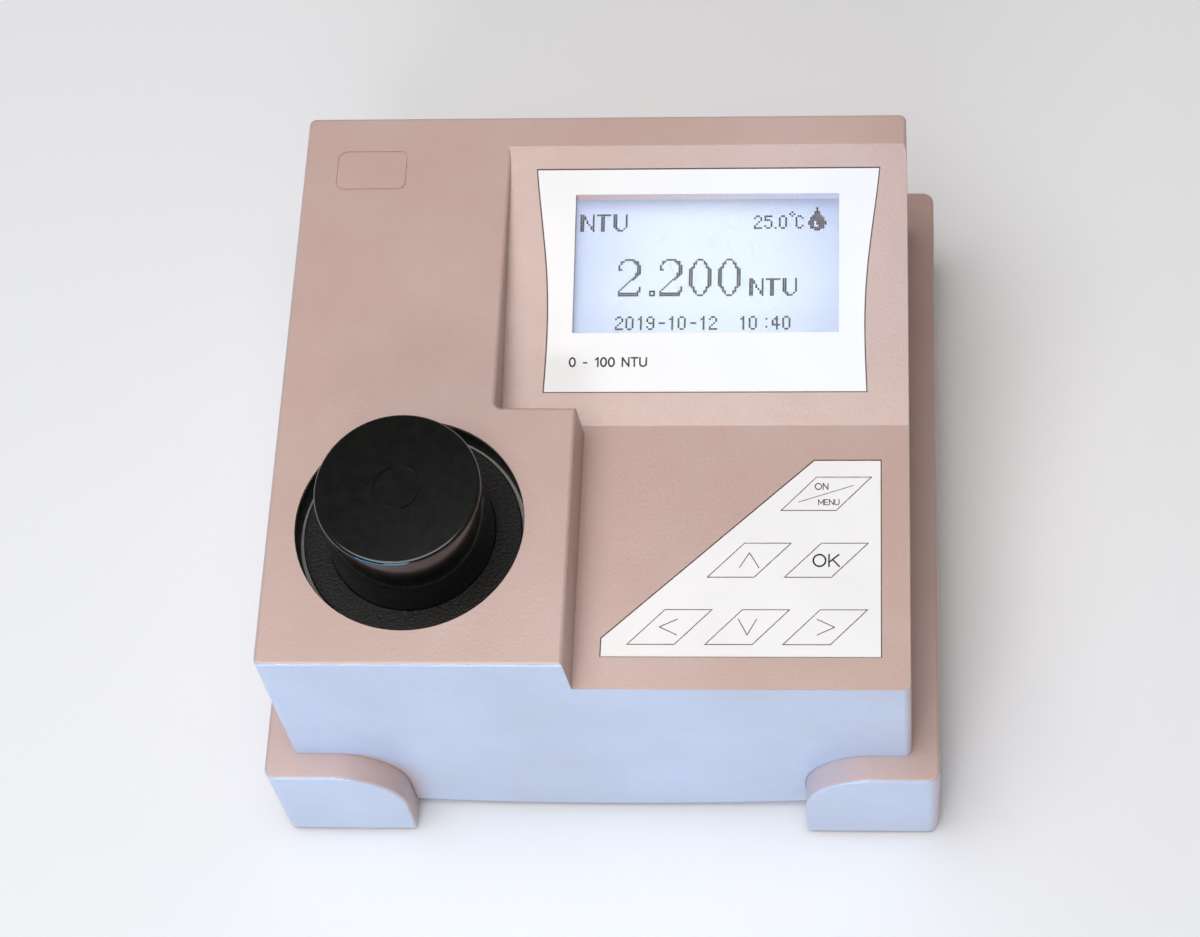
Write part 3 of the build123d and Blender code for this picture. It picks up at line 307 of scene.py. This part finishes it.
def steel_material(name="steel_zinc", lo=0.25, hi=0.38, tone=(0.62, 0.62, 0.60)):
    g = Graph(name)
    mp = g.node("ShaderNodeMapping")
    mp.inputs["Scale"].default_value = (0.6, 0.6, 14.0)
    g.link(g.mm, mp.inputs["Vector"])
    line = g.noise(1.0, 3, 0.6, vec=mp.outputs["Vector"])
    col = g.mix(g.ramp(line, 0.3, 0.7), tuple(v * 0.82 for v in tone), tuple(min(1, v * 1.1) for v in tone))
    col = g.mix(g.ramp(g.noise(0.7, 3), 0.6, 0.75, 0.0, 0.25), col, (0.36, 0.33, 0.28))
    rough = g.ramp(g.noise(0.9, 3), 0.3, 0.7, lo, hi)
    return g.done(g.principled(col, rough, 1.0, g.bump(line, 0.01, 0.5)))


def anodised_material():
    g = Graph("anodised_black")
    mp = g.node("ShaderNodeMapping")
    mp.inputs["Scale"].default_value = (0.3, 0.3, 5.0)
    g.link(g.mm, mp.inputs["Vector"])
    mill = g.noise(1.0, 2, 0.5, vec=mp.outputs["Vector"])
    col = g.mix(g.ramp(mill, 0.3, 0.7), lin(34, 34, 36), lin(56, 56, 58))
    rough = g.ramp(g.noise(1.5, 2), 0.3, 0.7, 0.34, 0.46)
    return g.done(g.principled(col, rough, 0.7, g.bump(mill, 0.02, 0.5)))


def aluminium_material():
    g = Graph("aluminium_bare")
    n = g.noise(0.8, 3)
    col = g.mix(g.ramp(n, 0.3, 0.7), (0.62, 0.62, 0.63), (0.74, 0.74, 0.75))
    return g.done(g.principled(col, g.ramp(n, 0.3, 0.7, 0.28, 0.4), 1.0, g.bump(g.noise(4.0, 2), 0.01, 0.5)))


def board_material():
    """green solder mask with copper runs under it and tinned pads"""
    g = Graph("circuit_board")
    v = g.node("ShaderNodeTexVoronoi", feature="DISTANCE_TO_EDGE", distance="EUCLIDEAN")
    v.inputs["Scale"].default_value = 0.20
    v.inputs["Randomness"].default_value = 0.35
    g.link(g.mm, v.inputs["Vector"])
    runs = g.ramp(v.outputs["Distance"], 0.03, 0.05, 1.0, 0.0)
    pads = g.math("LESS_THAN", g.voronoi(0.39, randomness=0.12), 0.16)
    col = g.mix(g.ramp(g.noise(0.1, 2), 0.3, 0.7), lin(14, 82, 44), lin(20, 98, 52))
    col = g.mix(g.math("MULTIPLY", runs, 0.7), col, lin(44, 138, 70))
    col = g.mix(g.math("MULTIPLY", pads, 0.9), col, lin(196, 190, 170))
    rough = g.ramp(pads, 0.0, 1.0, 0.36, 0.28)
    metal = g.math("MULTIPLY", pads, 0.8)
    return g.done(g.principled(col, rough, metal, g.bump(g.math("ADD", runs, pads), 0.03, 0.6), spec=0.5))


def chip_material():
    g = Graph("moulded_epoxy")
    n = g.noise(3.5, 3, 0.7)
    col = g.mix(g.ramp(n, 0.35, 0.7), lin(30, 30, 32), lin(48, 48, 50))
    return g.done(g.principled(col, g.ramp(n, 0.3, 0.7, 0.5, 0.65), 0.0, g.bump(n, 0.03, 0.6), spec=0.4))


def nylon_material():
    g = Graph("nylon_natural")
    n = g.noise(0.7, 3)
    col = g.mix(g.ramp(n, 0.3, 0.7), lin(226, 220, 204), lin(238, 234, 222))
    return g.done(g.principled(col, 0.42, 0.0, g.bump(g.noise(3.0, 2), 0.02, 0.5), spec=0.45))


def film_material():
    g = Graph("polyester_film")
    xyz = g.xyz()
    stripe = g.math("GREATER_THAN", g.math("FRACT", g.math("MULTIPLY", xyz[0], 0.8)), 0.55)
    col = g.mix(g.math("MULTIPLY", stripe, 0.5), lin(214, 206, 184), lin(150, 146, 140))
    n = g.noise(1.5, 2)
    return g.done(g.principled(col, g.ramp(n, 0.3, 0.7, 0.25, 0.35), 0.0, g.bump(n, 0.01, 0.5)))


def wire_material():
    g = Graph("pvc_grey")
    xyz = g.xyz()
    groove = g.math("ABSOLUTE", g.math("SUBTRACT", g.math("FRACT", g.math("MULTIPLY", xyz[0], 0.787)), 0.5))
    col = g.mix(g.ramp(groove, 0.3, 0.5), lin(150, 152, 156), lin(104, 106, 110))
    return g.done(g.principled(col, 0.5, 0.0, g.bump(g.math("ADD", groove, g.math("MULTIPLY", g.noise(3.0, 2), 0.2)), 0.08, 0.6)))


def dome_material():
    g = Graph("dome_steel")
    n = g.noise(2.5, 3)
    return g.done(g.principled(g.mix(g.ramp(n, 0.3, 0.7), (0.66, 0.66, 0.64), (0.8, 0.8, 0.78)), g.ramp(n, 0.3, 0.7, 0.14, 0.24), 1.0, g.bump(n, 0.006, 0.4)))


def led_material():
    g = Graph("clear_epoxy")
    n = g.noise(1.2, 2)
    p = g.principled(g.mix(g.ramp(n, 0.3, 0.7), (0.80, 0.86, 0.95), (0.9, 0.94, 1.0)), 0.08, 0.0, g.bump(n, 0.01, 0.4))
    p.inputs["Transmission Weight"].default_value = 0.6
    return g.done(p)


def clear_material(name, scratches, ior=1.49):
    """thin clear plate: see-through with a weak sheen, and fine scratches if asked"""
    g = Graph(name)
    # Schlick's curve from the facing angle, the same on both faces of the plate
    lw = g.node("ShaderNodeLayerWeight")
    lw.inputs["Blend"].default_value = 0.5
    f0 = ((ior - 1) / (ior + 1)) ** 2
    mirror = g.math("MULTIPLY_ADD", g.math("POWER", lw.outputs["Facing"], 5.0), 1.0 - f0, f0)
    tr = g.node("ShaderNodeBsdfTransparent")
    tr.inputs["Color"].default_value = (0.965, 0.975, 0.985, 1)
    gl = g.node("ShaderNodeBsdfGlossy")
    g.put(gl.inputs["Roughness"], g.ramp(g.noise(0.3, 3), 0.3, 0.7, 0.02, 0.07))
    mx = g.node("ShaderNodeMixShader")
    g.link(mirror, mx.inputs[0])
    g.link(tr.outputs[0], mx.inputs[1])
    g.link(gl.outputs[0], mx.inputs[2])
    if not scratches:
        return g.done(mx)
    masks = []
    for turn, sx, sy, lo, hi in ((0.45, 0.05, 2.6, 0.735, 0.752), (-0.7, 0.07, 3.2, 0.742, 0.757), (1.25, 0.06, 2.2, 0.74, 0.755)):
        mp = g.node("ShaderNodeMapping")
        mp.inputs["Rotation"].default_value = (0, 0, turn)
        mp.inputs["Scale"].default_value = (sx, sy, 0.02)
        g.link(g.mm, mp.inputs["Vector"])
        # Mapping scales before it turns, so the streaks are turned first by a second mapping
        m0 = g.node("ShaderNodeMapping")
        m0.inputs["Rotation"].default_value = (0, 0, turn)
        g.link(g.mm, m0.inputs["Vector"])
        mp.inputs["Rotation"].default_value = (0, 0, 0)
        g.t.links.remove(mp.inputs["Vector"].links[0])
        g.link(m0.outputs["Vector"], mp.inputs["Vector"])
        masks.append(g.ramp(g.noise(1.0, 2, 0.6, vec=mp.outputs["Vector"]), lo, hi))
    m = g.math("MAXIMUM", g.math("MAXIMUM", masks[0], masks[1]), masks[2])
    haze = g.ramp(g.noise(0.11, 3, 0.6), 0.58, 0.8, 0.0, 0.07, smooth=True)
    m = g.math("MAXIMUM", g.math("MULTIPLY", m, 0.75), haze)
    df = g.node("ShaderNodeBsdfDiffuse")
    df.inputs["Color"].default_value = (0.95, 0.97, 1.0, 1)
    m2 = g.node("ShaderNodeMixShader")
    g.link(m, m2.inputs[0])
    g.link(mx.outputs[0], m2.inputs[1])
    g.link(df.outputs[0], m2.inputs[2])
    return g.done(m2)


def lcd_material():
    """lit display: pale in the middle, bluer towards the sides, with the dot grid just visible"""
    g = Graph("lcd_lit")
    xyz = g.xyz()
    s = g.math("MULTIPLY", g.math("SUBTRACT", xyz[1], SLOPE_Y1), -1.0 / math.cos(ANG))
    u = g.math("DIVIDE", g.math("SUBTRACT", xyz[0], LCD_X + 1.0), 33.0)
    v = g.math("DIVIDE", g.math("SUBTRACT", s, LCD_S + 1.0), 19.0)
    r = g.math("ADD", g.math("MULTIPLY", u, u), g.math("MULTIPLY", g.math("MULTIPLY", v, v), 0.35))
    r = g.math("ADD", r, g.math("MULTIPLY", g.math("SUBTRACT", g.noise(0.05, 2), 0.5), 0.5))
    col = g.mix(g.ramp(r, 0.05, 1.05, 0.0, 1.0, smooth=True), lin(232, 244, 253), lin(207, 219, 248))
    # painted shade: a darker, bluer band along the top edge of the display, under the lip
    top = g.ramp(v, -0.98, -0.80, 1.0, 0.0, smooth=True)
    col = g.mix(g.math("MULTIPLY", top, 0.35), col, lin(196, 202, 238))
    gx = g.math("ABSOLUTE", g.math("SUBTRACT", g.math("FRACT", g.math("DIVIDE", g.math("SUBTRACT", xyz[0], LCD_X - 33.28), 0.52)), 0.5))
    gy = g.math("ABSOLUTE", g.math("SUBTRACT", g.math("FRACT", g.math("DIVIDE", g.math("SUBTRACT", s, LCD_S - 16.64), 0.52)), 0.5))
    grid = g.ramp(g.math("MAXIMUM", gx, gy), 0.43, 0.48, 0.0, 0.035)
    col = g.mix(grid, col, (1.0, 1.0, 1.0))
    dim = g.mix(0.62, col, (0.0, 0.0, 0.0))
    return g.done(g.principled(dim, 0.22, 0.0, None, spec=0.3, emission=col, strength=0.62))


def dot_material(name, dark, light):
    g = Graph(name)
    n = g.noise(0.4, 2)
    col = g.mix(g.ramp(n, 0.3, 0.7), lin(*dark), lin(*light))
    return g.done(g.principled(col, 0.4, 0.0, None, spec=0.2))


def backlight_material():
    g = Graph("diffuser_milky")
    n = g.noise(1.0, 2)
    col = g.mix(g.ramp(n, 0.3, 0.7), (0.86, 0.9, 0.97), (0.93, 0.95, 1.0))
    return g.done(g.principled(col, 0.5, 0.0, g.bump(n, 0.02, 0.4), emission=col, strength=0.3))


def inlet_material():
    g = Graph("inlet_black")
    xyz = g.xyz()
    n = g.noise(2.0, 2)
    col = g.mix(g.ramp(n, 0.3, 0.7), lin(26, 26, 27), lin(38, 38, 39))
    return g.done(g.principled(col, 0.36, 0.0, g.bump(n, 0.02, 0.5)))


MAT = {
    "housing": housing_material(),
    "rubber": rubber_material(),
    "black_plastic": black_material("well_black", 0.42, 0.56, 0.10, 1.8, (17, 17, 15)),
    "grey_felt": felt_material(),
    "foam": foam_material(),
    "steel": steel_material(),
    "dome_steel": dome_material(),
    "label": label_material(),
    "clear": clear_material("clear_pane", True, 1.24),
    "lcd": lcd_material(),
    "backlight": backlight_material(),
    "green_board": board_material(),
    "film": film_material(),
    "anodised": anodised_material(),
    "emitter": led_material(),
    "chip": chip_material(),
    "connector": nylon_material(),
    "heat_sink": aluminium_material(),
    "wire": wire_material(),
}
CAP = cap_material()
LENS = clear_material("lens_clear", False)
INLET = inlet_material()
INK_RED = ink_material("ink_dark_red", (92, 30, 32))
INK_GREY = ink_material("ink_dark_grey", (52, 48, 50))
INK_DARK = ink_material("ink_near_black", (34, 26, 30))
# dark brown for the gaps round the labels: painted shadow of the recess walls
PAINTED_GAP_SHADE = ink_material("seam_brown", (78, 48, 46))
LIP_PAINTED_LIT = painted_lit_lip_material()
DOT = dot_material("lcd_dot", (12, 11, 24), (20, 16, 30))
DOT_WARM = dot_material("lcd_dot_warm", (40, 14, 8), (52, 22, 14))

slots = {s["node"]: s["material_slot"] for s in frame["record"]["subparts"]}
for name, obj in frame["nodes"].items():
    m = MAT[slots[name]]
    if name == "cap_shell":
        m = CAP
    elif name == "collimator_lens":
        m = LENS
    elif name == "dc_inlet":
        m = INLET
    if not obj.material_slots:
        obj.data.materials.append(m)
    for ms in obj.material_slots:
        ms.material = m


# ------------------------------------------------------------------ thin printed and dotted pieces
def mesh_piece(name, verts, faces, matrix, material, body):
    me = bpy.data.meshes.new(name)
    me.from_pydata([matrix @ (Vector(v) * MM) for v in verts], [], faces)
    me.materials.append(material)
    me.validate()
    ob = bpy.data.objects.new(name, me)
    scene.collection.objects.link(ob)
    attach(ob, body)
    return ob


def prism(points, z0, z1, verts, faces):
    """adds a flat prism over a counter-clockwise polygon"""
    n, k = len(points), len(verts)
    verts += [(x, y, z0) for x, y in points] + [(x, y, z1) for x, y in points]
    faces.append([k + i for i in range(n)][::-1])
    faces.append([k + n + i for i in range(n)])
    for i in range(n):
        j = (i + 1) % n
        faces.append([k + i, k + j, k + n + j, k + n + i])


def stroke(line, width, z0, z1, verts, faces, closed=False):
    """a printed line of one width along a polyline, with round joints and ends"""
    pts = [Vector(p) for p in line]
    segs = list(zip(pts, pts[1:] + ([pts[0]] if closed else [])))
    for a, b in segs:
        if (b - a).length < 1e-6:
            continue
        d = (b - a).normalized() * (width / 2)
        n = Vector((-d.y, d.x))
        outline = []
        a0 = math.atan2(d.y, d.x)
        for i in range(7):
            t = a0 - math.pi / 2 + math.pi * i / 6
            outline.append((b.x + math.cos(t) * width / 2, b.y + math.sin(t) * width / 2))
        for i in range(7):
            t = a0 + math.pi / 2 + math.pi * i / 6
            outline.append((a.x + math.cos(t) * width / 2, a.y + math.sin(t) * width / 2))
        prism(outline, z0, z1, verts, faces)


def arc(cx, cy, rx, ry, a0, a1, n=14):
    return [(cx + rx * math.cos(math.radians(a0 + (a1 - a0) * i / n)), cy + ry * math.sin(math.radians(a0 + (a1 - a0) * i / n))) for i in range(n + 1)]


# stroke letters on a box 0..w wide and 0..1 high
LETTERS = {
    "O": (0.96, [arc(0.48, 0.5, 0.48, 0.5, 0, 360, 28)]),
    "K": (0.8, [[(0, 0), (0, 1)], [(0.76, 1), (0.02, 0.36)], [(0.28, 0.58), (0.8, 0)]]),
    "N": (0.72, [[(0, 0), (0, 1), (0.72, 0), (0.72, 1)]]),
    "F": (0.6, [[(0, 0), (0, 1), (0.58, 1)], [(0, 0.52), (0.5, 0.52)]]),
    "M": (0.84, [[(0, 0), (0, 1), (0.42, 0.25), (0.84, 1), (0.84, 0)]]),
    "E": (0.62, [[(0.62, 0), (0, 0), (0, 1), (0.6, 1)], [(0, 0.52), (0.52, 0.52)]]),
    "U": (0.72, [[(0, 1), (0, 0.34)] + arc(0.36, 0.34, 0.36, 0.34, 180, 360, 12) + [(0.72, 1)]]),
    "T": (0.72, [[(0, 1), (0.72, 1)], [(0.36, 1), (0.36, 0)]]),
    "0": (0.62, [arc(0.31, 0.5, 0.31, 0.5, 0, 360, 24)]),
    "1": (0.36, [[(0.04, 0.78), (0.3, 1), (0.3, 0)]]),
    "2": (0.6, [arc(0.3, 0.7, 0.29, 0.3, 170, -20, 12) + [(0, 0), (0.62, 0)]]),
    "-": (0.42, [[(0.04, 0.42), (0.38, 0.42)]]),
    ".": (0.14, [[(0.06, 0.02), (0.08, 0.02)]]),
    "/": (0.42, [[(0, -0.08), (0.42, 1.08)]]),
    " ": (0.4, []),
}


def write(text, x, y, height, width, z0, z1, verts, faces, gap=0.24, shear=0.0):
    for ch in text:
        w, lines = LETTERS[ch]
        for line in lines:
            pts = [(x + (px + shear * py) * height, y + py * height) for px, py in line]
            closed = ch in "O0"
            stroke(pts[:-1] if closed else pts, width, z0, z1, verts, faces, closed)
        x += (w + gap) * height
    return x


def key_points(name, inset):
    x, y, w, s = KEYS[name]
    h = KEY_H
    length = math.hypot(s, h)
    e, k = -inset * length / h, s / h
    g = -inset
    return [(x + k * g - e, y + g), (x + w + k * g + e, y + g), (x + w - s - k * g + e, y - h - g), (x - s - k * g - e, y - h - g)]


FLAT = Matrix.Identity(4)
INK0, INK1 = KEY_TOP + 0.004, KEY_TOP + 0.022


def outline(node, matrix, level):
    """the outer loop of a CAD node's flat face at that height, counter-clockwise, in the plane's own mm"""
    me = frame["nodes"][node].data
    inv = matrix.inverted()
    pts = [(inv @ v.co) / MM for v in me.vertices]
    edges = {}
    for f in me.polygons:
        if all(abs(pts[i].z - level) < 0.02 for i in f.vertices):
            ring = [(round(pts[i].x, 3), round(pts[i].y, 3)) for i in f.vertices]
            for a, b in zip(ring, ring[1:] + ring[:1]):
                if a != b:
                    edges[(a, b)] = edges.get((a, b), 0) + 1
    step = {a: b for a, b in edges if (b, a) not in edges}
    loops = []
    while step:
        a, b = step.popitem()
        loop = [a]
        while b in step:
            loop.append(b)
            b = step.pop(b)
        loops.append(loop)
    return max(loops, key=lambda l: max(p[0] for p in l) - min(p[0] for p in l))


def offset(loop, d):
    """a closed counter-clockwise loop moved outwards by d, with mitred corners"""
    pts = [Vector(p) for p in loop]
    pts = [p for i, p in enumerate(pts) if (p - pts[i - 1]).length > 0.02]
    out = []
    for i, p in enumerate(pts):
        a, b = (p - pts[i - 1]).normalized(), (pts[(i + 1) % len(pts)] - p).normalized()
        na, nb = Vector((a.y, -a.x)), Vector((b.y, -b.x))
        m = (na + nb).normalized()
        out.append(p + m * (d / max(0.25, m.dot(na))))
    return out


def band(loop, d0, d1, z0, z1, verts, faces):
    """a closed flat band between two offsets of a loop"""
    k, n = len(verts), 0
    rings = [offset(loop, d0), offset(loop, d1)]
    n = len(rings[0])
    for z in (z0, z1):
        for ring in rings:
            verts += [(p.x, p.y, z) for p in ring]
    for i in range(n):
        j = (i + 1) % n
        a0, b0, a1, b1 = k, k + n, k + 2 * n, k + 3 * n
        faces.append([a0 + j, a0 + i, b0 + i, b0 + j][::-1])
        faces.append([a1 + i, a1 + j, b1 + j, b1 + i][::-1])
        faces.append([a0 + i, a0 + j, a1 + j, a1 + i][::-1])
        faces.append([b0 + i, b0 + j, b1 + j, b1 + i])


for name in KEYS:
    verts, faces = [], []
    band(outline(name, FLAT, KEY_TOP), -0.02, 0.14, KEY_TOP - 0.05, KEY_TOP + 0.012, verts, faces)
    pts = key_points(name, 0)
    cx = sum(p[0] for p in pts) / 4
    cy = sum(p[1] for p in pts) / 4
    body = name.replace("key_", "") + "_key"
    if name == "key_power":
        stroke([(cx - 6.6, cy - 2.2), (cx + 6.5, cy + 2.2)], 0.17, INK0, INK1, verts, faces)
        write("ON", cx - 2.7, cy + 1.15, 1.6, 0.24, INK0, INK1, verts, faces)
        write("MENU", cx - 1.85, cy - 2.95, 1.4, 0.21, INK0, INK1, verts, faces, gap=0.2)
    mesh_piece(name + "_print", verts, faces, FLAT, INK_RED, body)
    verts, faces = [], []
    if name == "key_up":
        stroke([(cx - 2.3, cy - 1.95), (cx, cy + 1.9), (cx + 2.3, cy - 1.95)], 0.22, INK0, INK1, verts, faces)
    elif name == "key_down":
        stroke([(cx - 2.15, cy + 2.0), (cx, cy - 2.0), (cx + 2.15, cy + 2.0)], 0.22, INK0, INK1, verts, faces)
    elif name == "key_left":
        stroke([(cx + 1.8, cy + 2.0), (cx - 2.4, cy), (cx + 1.7, cy - 2.0)], 0.22, INK0, INK1, verts, faces)
    elif name == "key_right":
        stroke([(cx - 1.9, cy + 2.0), (cx + 2.2, cy), (cx - 1.9, cy - 2.0)], 0.22, INK0, INK1, verts, faces)
    elif name == "key_ok":
        write("OK", cx - 3.1, cy - 1.6, 3.05, 0.40, INK0, INK1, verts, faces, gap=0.26)
    if verts:
        mesh_piece(name + "_sign", verts, faces, FLAT, INK_RED if name != "key_ok" else INK_GREY, body)

# small scale print on the display label
verts, faces = [], []
write("0 - 100 NTU", -7.3, -58.0, 2.2, 0.42, -0.2 + 0.003, -0.2 + 0.02, verts, faces, gap=0.26)
mesh_piece("display_label_print", verts, faces, slope_matrix(0.0), INK_DARK, "case")
# sloping lip at the top of the display opening, in the housing's plastic coloured paler: painted light
verts, faces = [], []
for x in (LCD_X - 32.8, LCD_X + 32.8):
    verts += [(x, -13.02, -0.66), (x, -13.02, -2.4), (x, -13.66, -2.4), (x, -13.12, -0.66)]
faces += [(0, 1, 2, 3), (7, 6, 5, 4), (0, 4, 5, 1), (1, 5, 6, 2), (2, 6, 7, 3), (3, 7, 4, 0)]
mesh_piece("display_lip", verts, faces, slope_matrix(0.0), LIP_PAINTED_LIT, "case")
verts, faces = [], []
# dark band in the gap round the display label: painted shadow of the recess wall
band(outline("display_label", slope_matrix(0.0), -0.2), -0.07, 0.17, -0.26, -0.2 + 0.012, verts, faces)
mesh_piece("display_label_edge", verts, faces, slope_matrix(0.0), PAINTED_GAP_SHADE, "case")
verts, faces = [], []
# dark band in the gap round the keypad label: painted shadow of the recess wall
band(outline("keypad_label", FLAT, KEY_TOP), -0.05, 0.17, KEY_TOP - 0.06, KEY_TOP + 0.012, verts, faces)
mesh_piece("keypad_label_edge", verts, faces, FLAT, PAINTED_GAP_SHADE, "case")

# ------------------------------------------------------------------ snap domes, copied from the CAD domes and riding on the case
for name in KEYS:
    word = name.replace("key_", "")
    ob = bpy.data.objects.new("snap_" + word, frame["nodes"]["dome_" + word].data.copy())
    scene.collection.objects.link(ob)
    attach(ob, "case")
    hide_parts("dome_" + word)
    pts = key_points(name, 0)
    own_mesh(ob)

# ------------------------------------------------------------------ display dots
BIG = {
    "2": ["...xxxxx...", ".xx....xxx.", ".x......xx.", "x........xx", "x........xx", "xx.......xx", ".........xx", "........xxx", "........xx.",
          ".......xx..", "......xx...", ".....x.....", "....x......", "...x.......", "..x.......x", ".x........x", "x........xx", "xxxxxxxxxx.", "xxxxxxxxxx."],
    "0": ["....xxx....", "...x...x...", "..xx...xx..", "..x.....x..", ".xx.....xx.", "xx.......xx", "xx.......xx", "xx.......xx", "xx.......xx",
          "xx.......xx", "xx.......xx", "xx.......xx", "xx.......xx", "xx.......xx", ".xx.....xx.", "..x.....x..", "..xx...xx..", "...x...x...", "....xxx...."],
    ".": ["...."] * 16 + ["xxx.", "x.x.", "xxx."],
}
MID = {
    "N": ["xx....x", "xxx...x", "xxx...x", "xx.x..x", "xx.x..x", "xx..x.x", "xx...xx", "xx...xx", "xx....x"],
    "T": ["xxxxxxx"] + ["..xx..."] * 8,
    "U": ["xx....x"] * 7 + [".xx..x.", "..xxx.."],
}
SMALL = {
    "0": [".xx.", "x..x", "x..x", "x..x", "x..x", "x..x", ".xx."],
    "1": ["..x.", ".xx.", "..x.", "..x.", "..x.", "..x.", "..x."],
    "2": [".xx.", "x..x", "...x", "..x.", ".x..", "x...", "xxxx"],
    "4": ["..x.", ".xx.", "x.x.", "x.x.", "xxxx", "..x.", "..x."],
    "5": ["xxxx", "x...", "xxx.", "...x", "...x", "x..x", ".xx."],
    "6": [".xx.", "x...", "x...", "xxx.", "x..x", "x..x", ".xx."],
    "9": [".xx.", "x..x", "x..x", ".xxx", "...x", "x..x", ".xx."],
    "-": ["....", "....", "....", ".xxx", "....", "....", "...."],
    ":": ["....", "..x.", "....", "....", "....", "..x.", "...."],
    ".": ["....", "....", "....", "....", "....", "....", ".x.."],
    "C": [".xx.", "x..x", "x...", "x...", "x...", "x..x", ".xx."],
}
DEGREE = [".x.", "x.x", ".x."]
DROP = ["....x....", "....x....", "...xxx...", "...xxx...", "..xxxxx..", ".xxxxxxx.", ".xxxxxxx.", "xxx.xxxxx", "xxx.xxxxx", ".xx..xxx.", ".xxxxxxx.", "...xxx..."]

lit = set()


def stamp(rows, col, row):
    for j, line in enumerate(rows):
        for i, ch in enumerate(line):
            if ch == "x":
                lit.add((col + i, row + j))


for ch, col in (("N", 2), ("T", 10), ("U", 18)):
    stamp(MID[ch], col, 3)
for ch, col in (("2", 21), (".", 36), ("2", 41), ("0", 55), ("0", 69)):
    stamp(BIG[ch], col, 26)
for ch, col in (("N", 84), ("T", 92), ("U", 100)):
    stamp(MID[ch], col, 36)
for ch, col in (("2", 86), ("5", 91), (".", 95), ("0", 98), ("C", 106)):
    stamp(SMALL[ch], col, 4)
stamp(DEGREE, 103, 2)
stamp(DROP, 112, 0)
for i, ch in enumerate("2019-10-12"):
    stamp(SMALL[ch], 20 + 5 * i, 55)
for ch, col in (("1", 79), ("0", 84), (":", 90), ("4", 95), ("0", 100)):
    stamp(SMALL[ch], col, 55)

PITCH, DOT_W = 0.52, 0.47


def dots(name, cells, material):
    verts, faces = [], []
    for c, r in sorted(cells):
        x0 = LCD_X - 33.28 + c * PITCH + 0.025
        y0 = -(LCD_S - 16.64) - r * PITCH - 0.025
        prism([(x0, y0 - DOT_W), (x0 + DOT_W, y0 - DOT_W), (x0 + DOT_W, y0), (x0, y0)], -6.0 + 0.01, -6.0 + 0.05, verts, faces)
    mesh_piece(name, verts, faces, slope_matrix(0.0), material, "case")


DROPLET = {(c, r) for c, r in lit if c >= 111 and r < 13}
dots("lcd_dots", lit - DROPLET, DOT)
dots("lcd_icon", DROPLET, DOT_WARM)

# ------------------------------------------------------------------ floor, lights, camera
floor_mesh = bpy.data.meshes.new("floor")
R = 3.0
floor_mesh.from_pydata([(-R, -R, 0), (R, -R, 0), (R, R, 0), (-R, R, 0)], [], [(0, 1, 2, 3)])
floor = bpy.data.objects.new("floor", floor_mesh)
scene.collection.objects.link(floor)
g = Graph("floor_pale")
floor_mesh.materials.append(g.done(g.principled((0.92, 0.92, 0.92), 0.75, 0.0, None, spec=0.15)))

world = bpy.data.worlds.new("studio")
scene.world = world
world.use_nodes = True
wt = world.node_tree
wt.nodes.clear()
w_out = wt.nodes.new("ShaderNodeOutputWorld")
w_bg = wt.nodes.new("ShaderNodeBackground")
w_tc = wt.nodes.new("ShaderNodeTexCoord")
w_xyz = wt.nodes.new("ShaderNodeSeparateXYZ")
w_ramp = wt.nodes.new("ShaderNodeValToRGB")
wt.links.new(w_tc.outputs["Generated"], w_xyz.inputs[0])
wt.links.new(w_xyz.outputs[2], w_ramp.inputs[0])
w_ramp.color_ramp.elements[0].position, w_ramp.color_ramp.elements[0].color = 0.05, (0.88, 0.94, 1.0, 1)
w_ramp.color_ramp.elements[1].position, w_ramp.color_ramp.elements[1].color = 0.55, (1.0, 0.985, 0.98, 1)
wt.links.new(w_ramp.outputs[0], w_bg.inputs["Color"])
w_bg.inputs["Strength"].default_value = 0.20
wt.links.new(w_bg.outputs[0], w_out.inputs["Surface"])


def area(name, loc, target, size, power, color=(1, 1, 1), size_y=None):
    d = bpy.data.lights.new(name, "AREA")
    d.shape = "RECTANGLE"
    d.size, d.size_y = size, size_y or size
    d.energy = power
    d.color = color
    o = bpy.data.objects.new(name, d)
    o.location = loc
    o.rotation_euler = (Vector(target) - Vector(loc)).to_track_quat("-Z", "Y").to_euler()
    scene.collection.objects.link(o)
    return o


area("key", (-0.17, -0.16, 1.15), (-0.07, -0.07, 0.08), 0.84, 9.5, (1.0, 0.985, 0.985))
area("front_soft", (-0.12, -0.96, 0.58), (0, 0, 0.07), 0.44, 2.7, (1.0, 0.985, 0.985), 0.12)
area("front_cool", (-0.45, -1.2, 0.045), (-0.03, 0, 0.045), 1.2, 21.5, (0.0, 0.43, 1.0), 0.085)

cam_data = bpy.data.cameras.new("camera")
cam = bpy.data.objects.new("camera", cam_data)
scene.collection.objects.link(cam)
cam_data.sensor_fit = "HORIZONTAL"
cam_data.sensor_width = 36.0
cam_data.lens = 2767.2 / 1200 * 36.0
cam_data.shift_x = -0.1
cam_data.clip_start, cam_data.clip_end = 0.05, 20.0
right = Vector((0.99844, 0.02383, -0.05054))
up = Vector((0.00102, 0.89651, 0.44302))
back = right.cross(up)
m = Matrix((right, up, back)).transposed().to_4x4()
m.translation = Vector((67.57, -315.365, 677.06)) * MM
cam.matrix_world = m
scene.camera = cam

scene.view_settings.view_transform = "Standard"
scene.view_settings.look = "None"
scene.view_settings.exposure = 0.0
scene.view_settings.gamma = 1.0
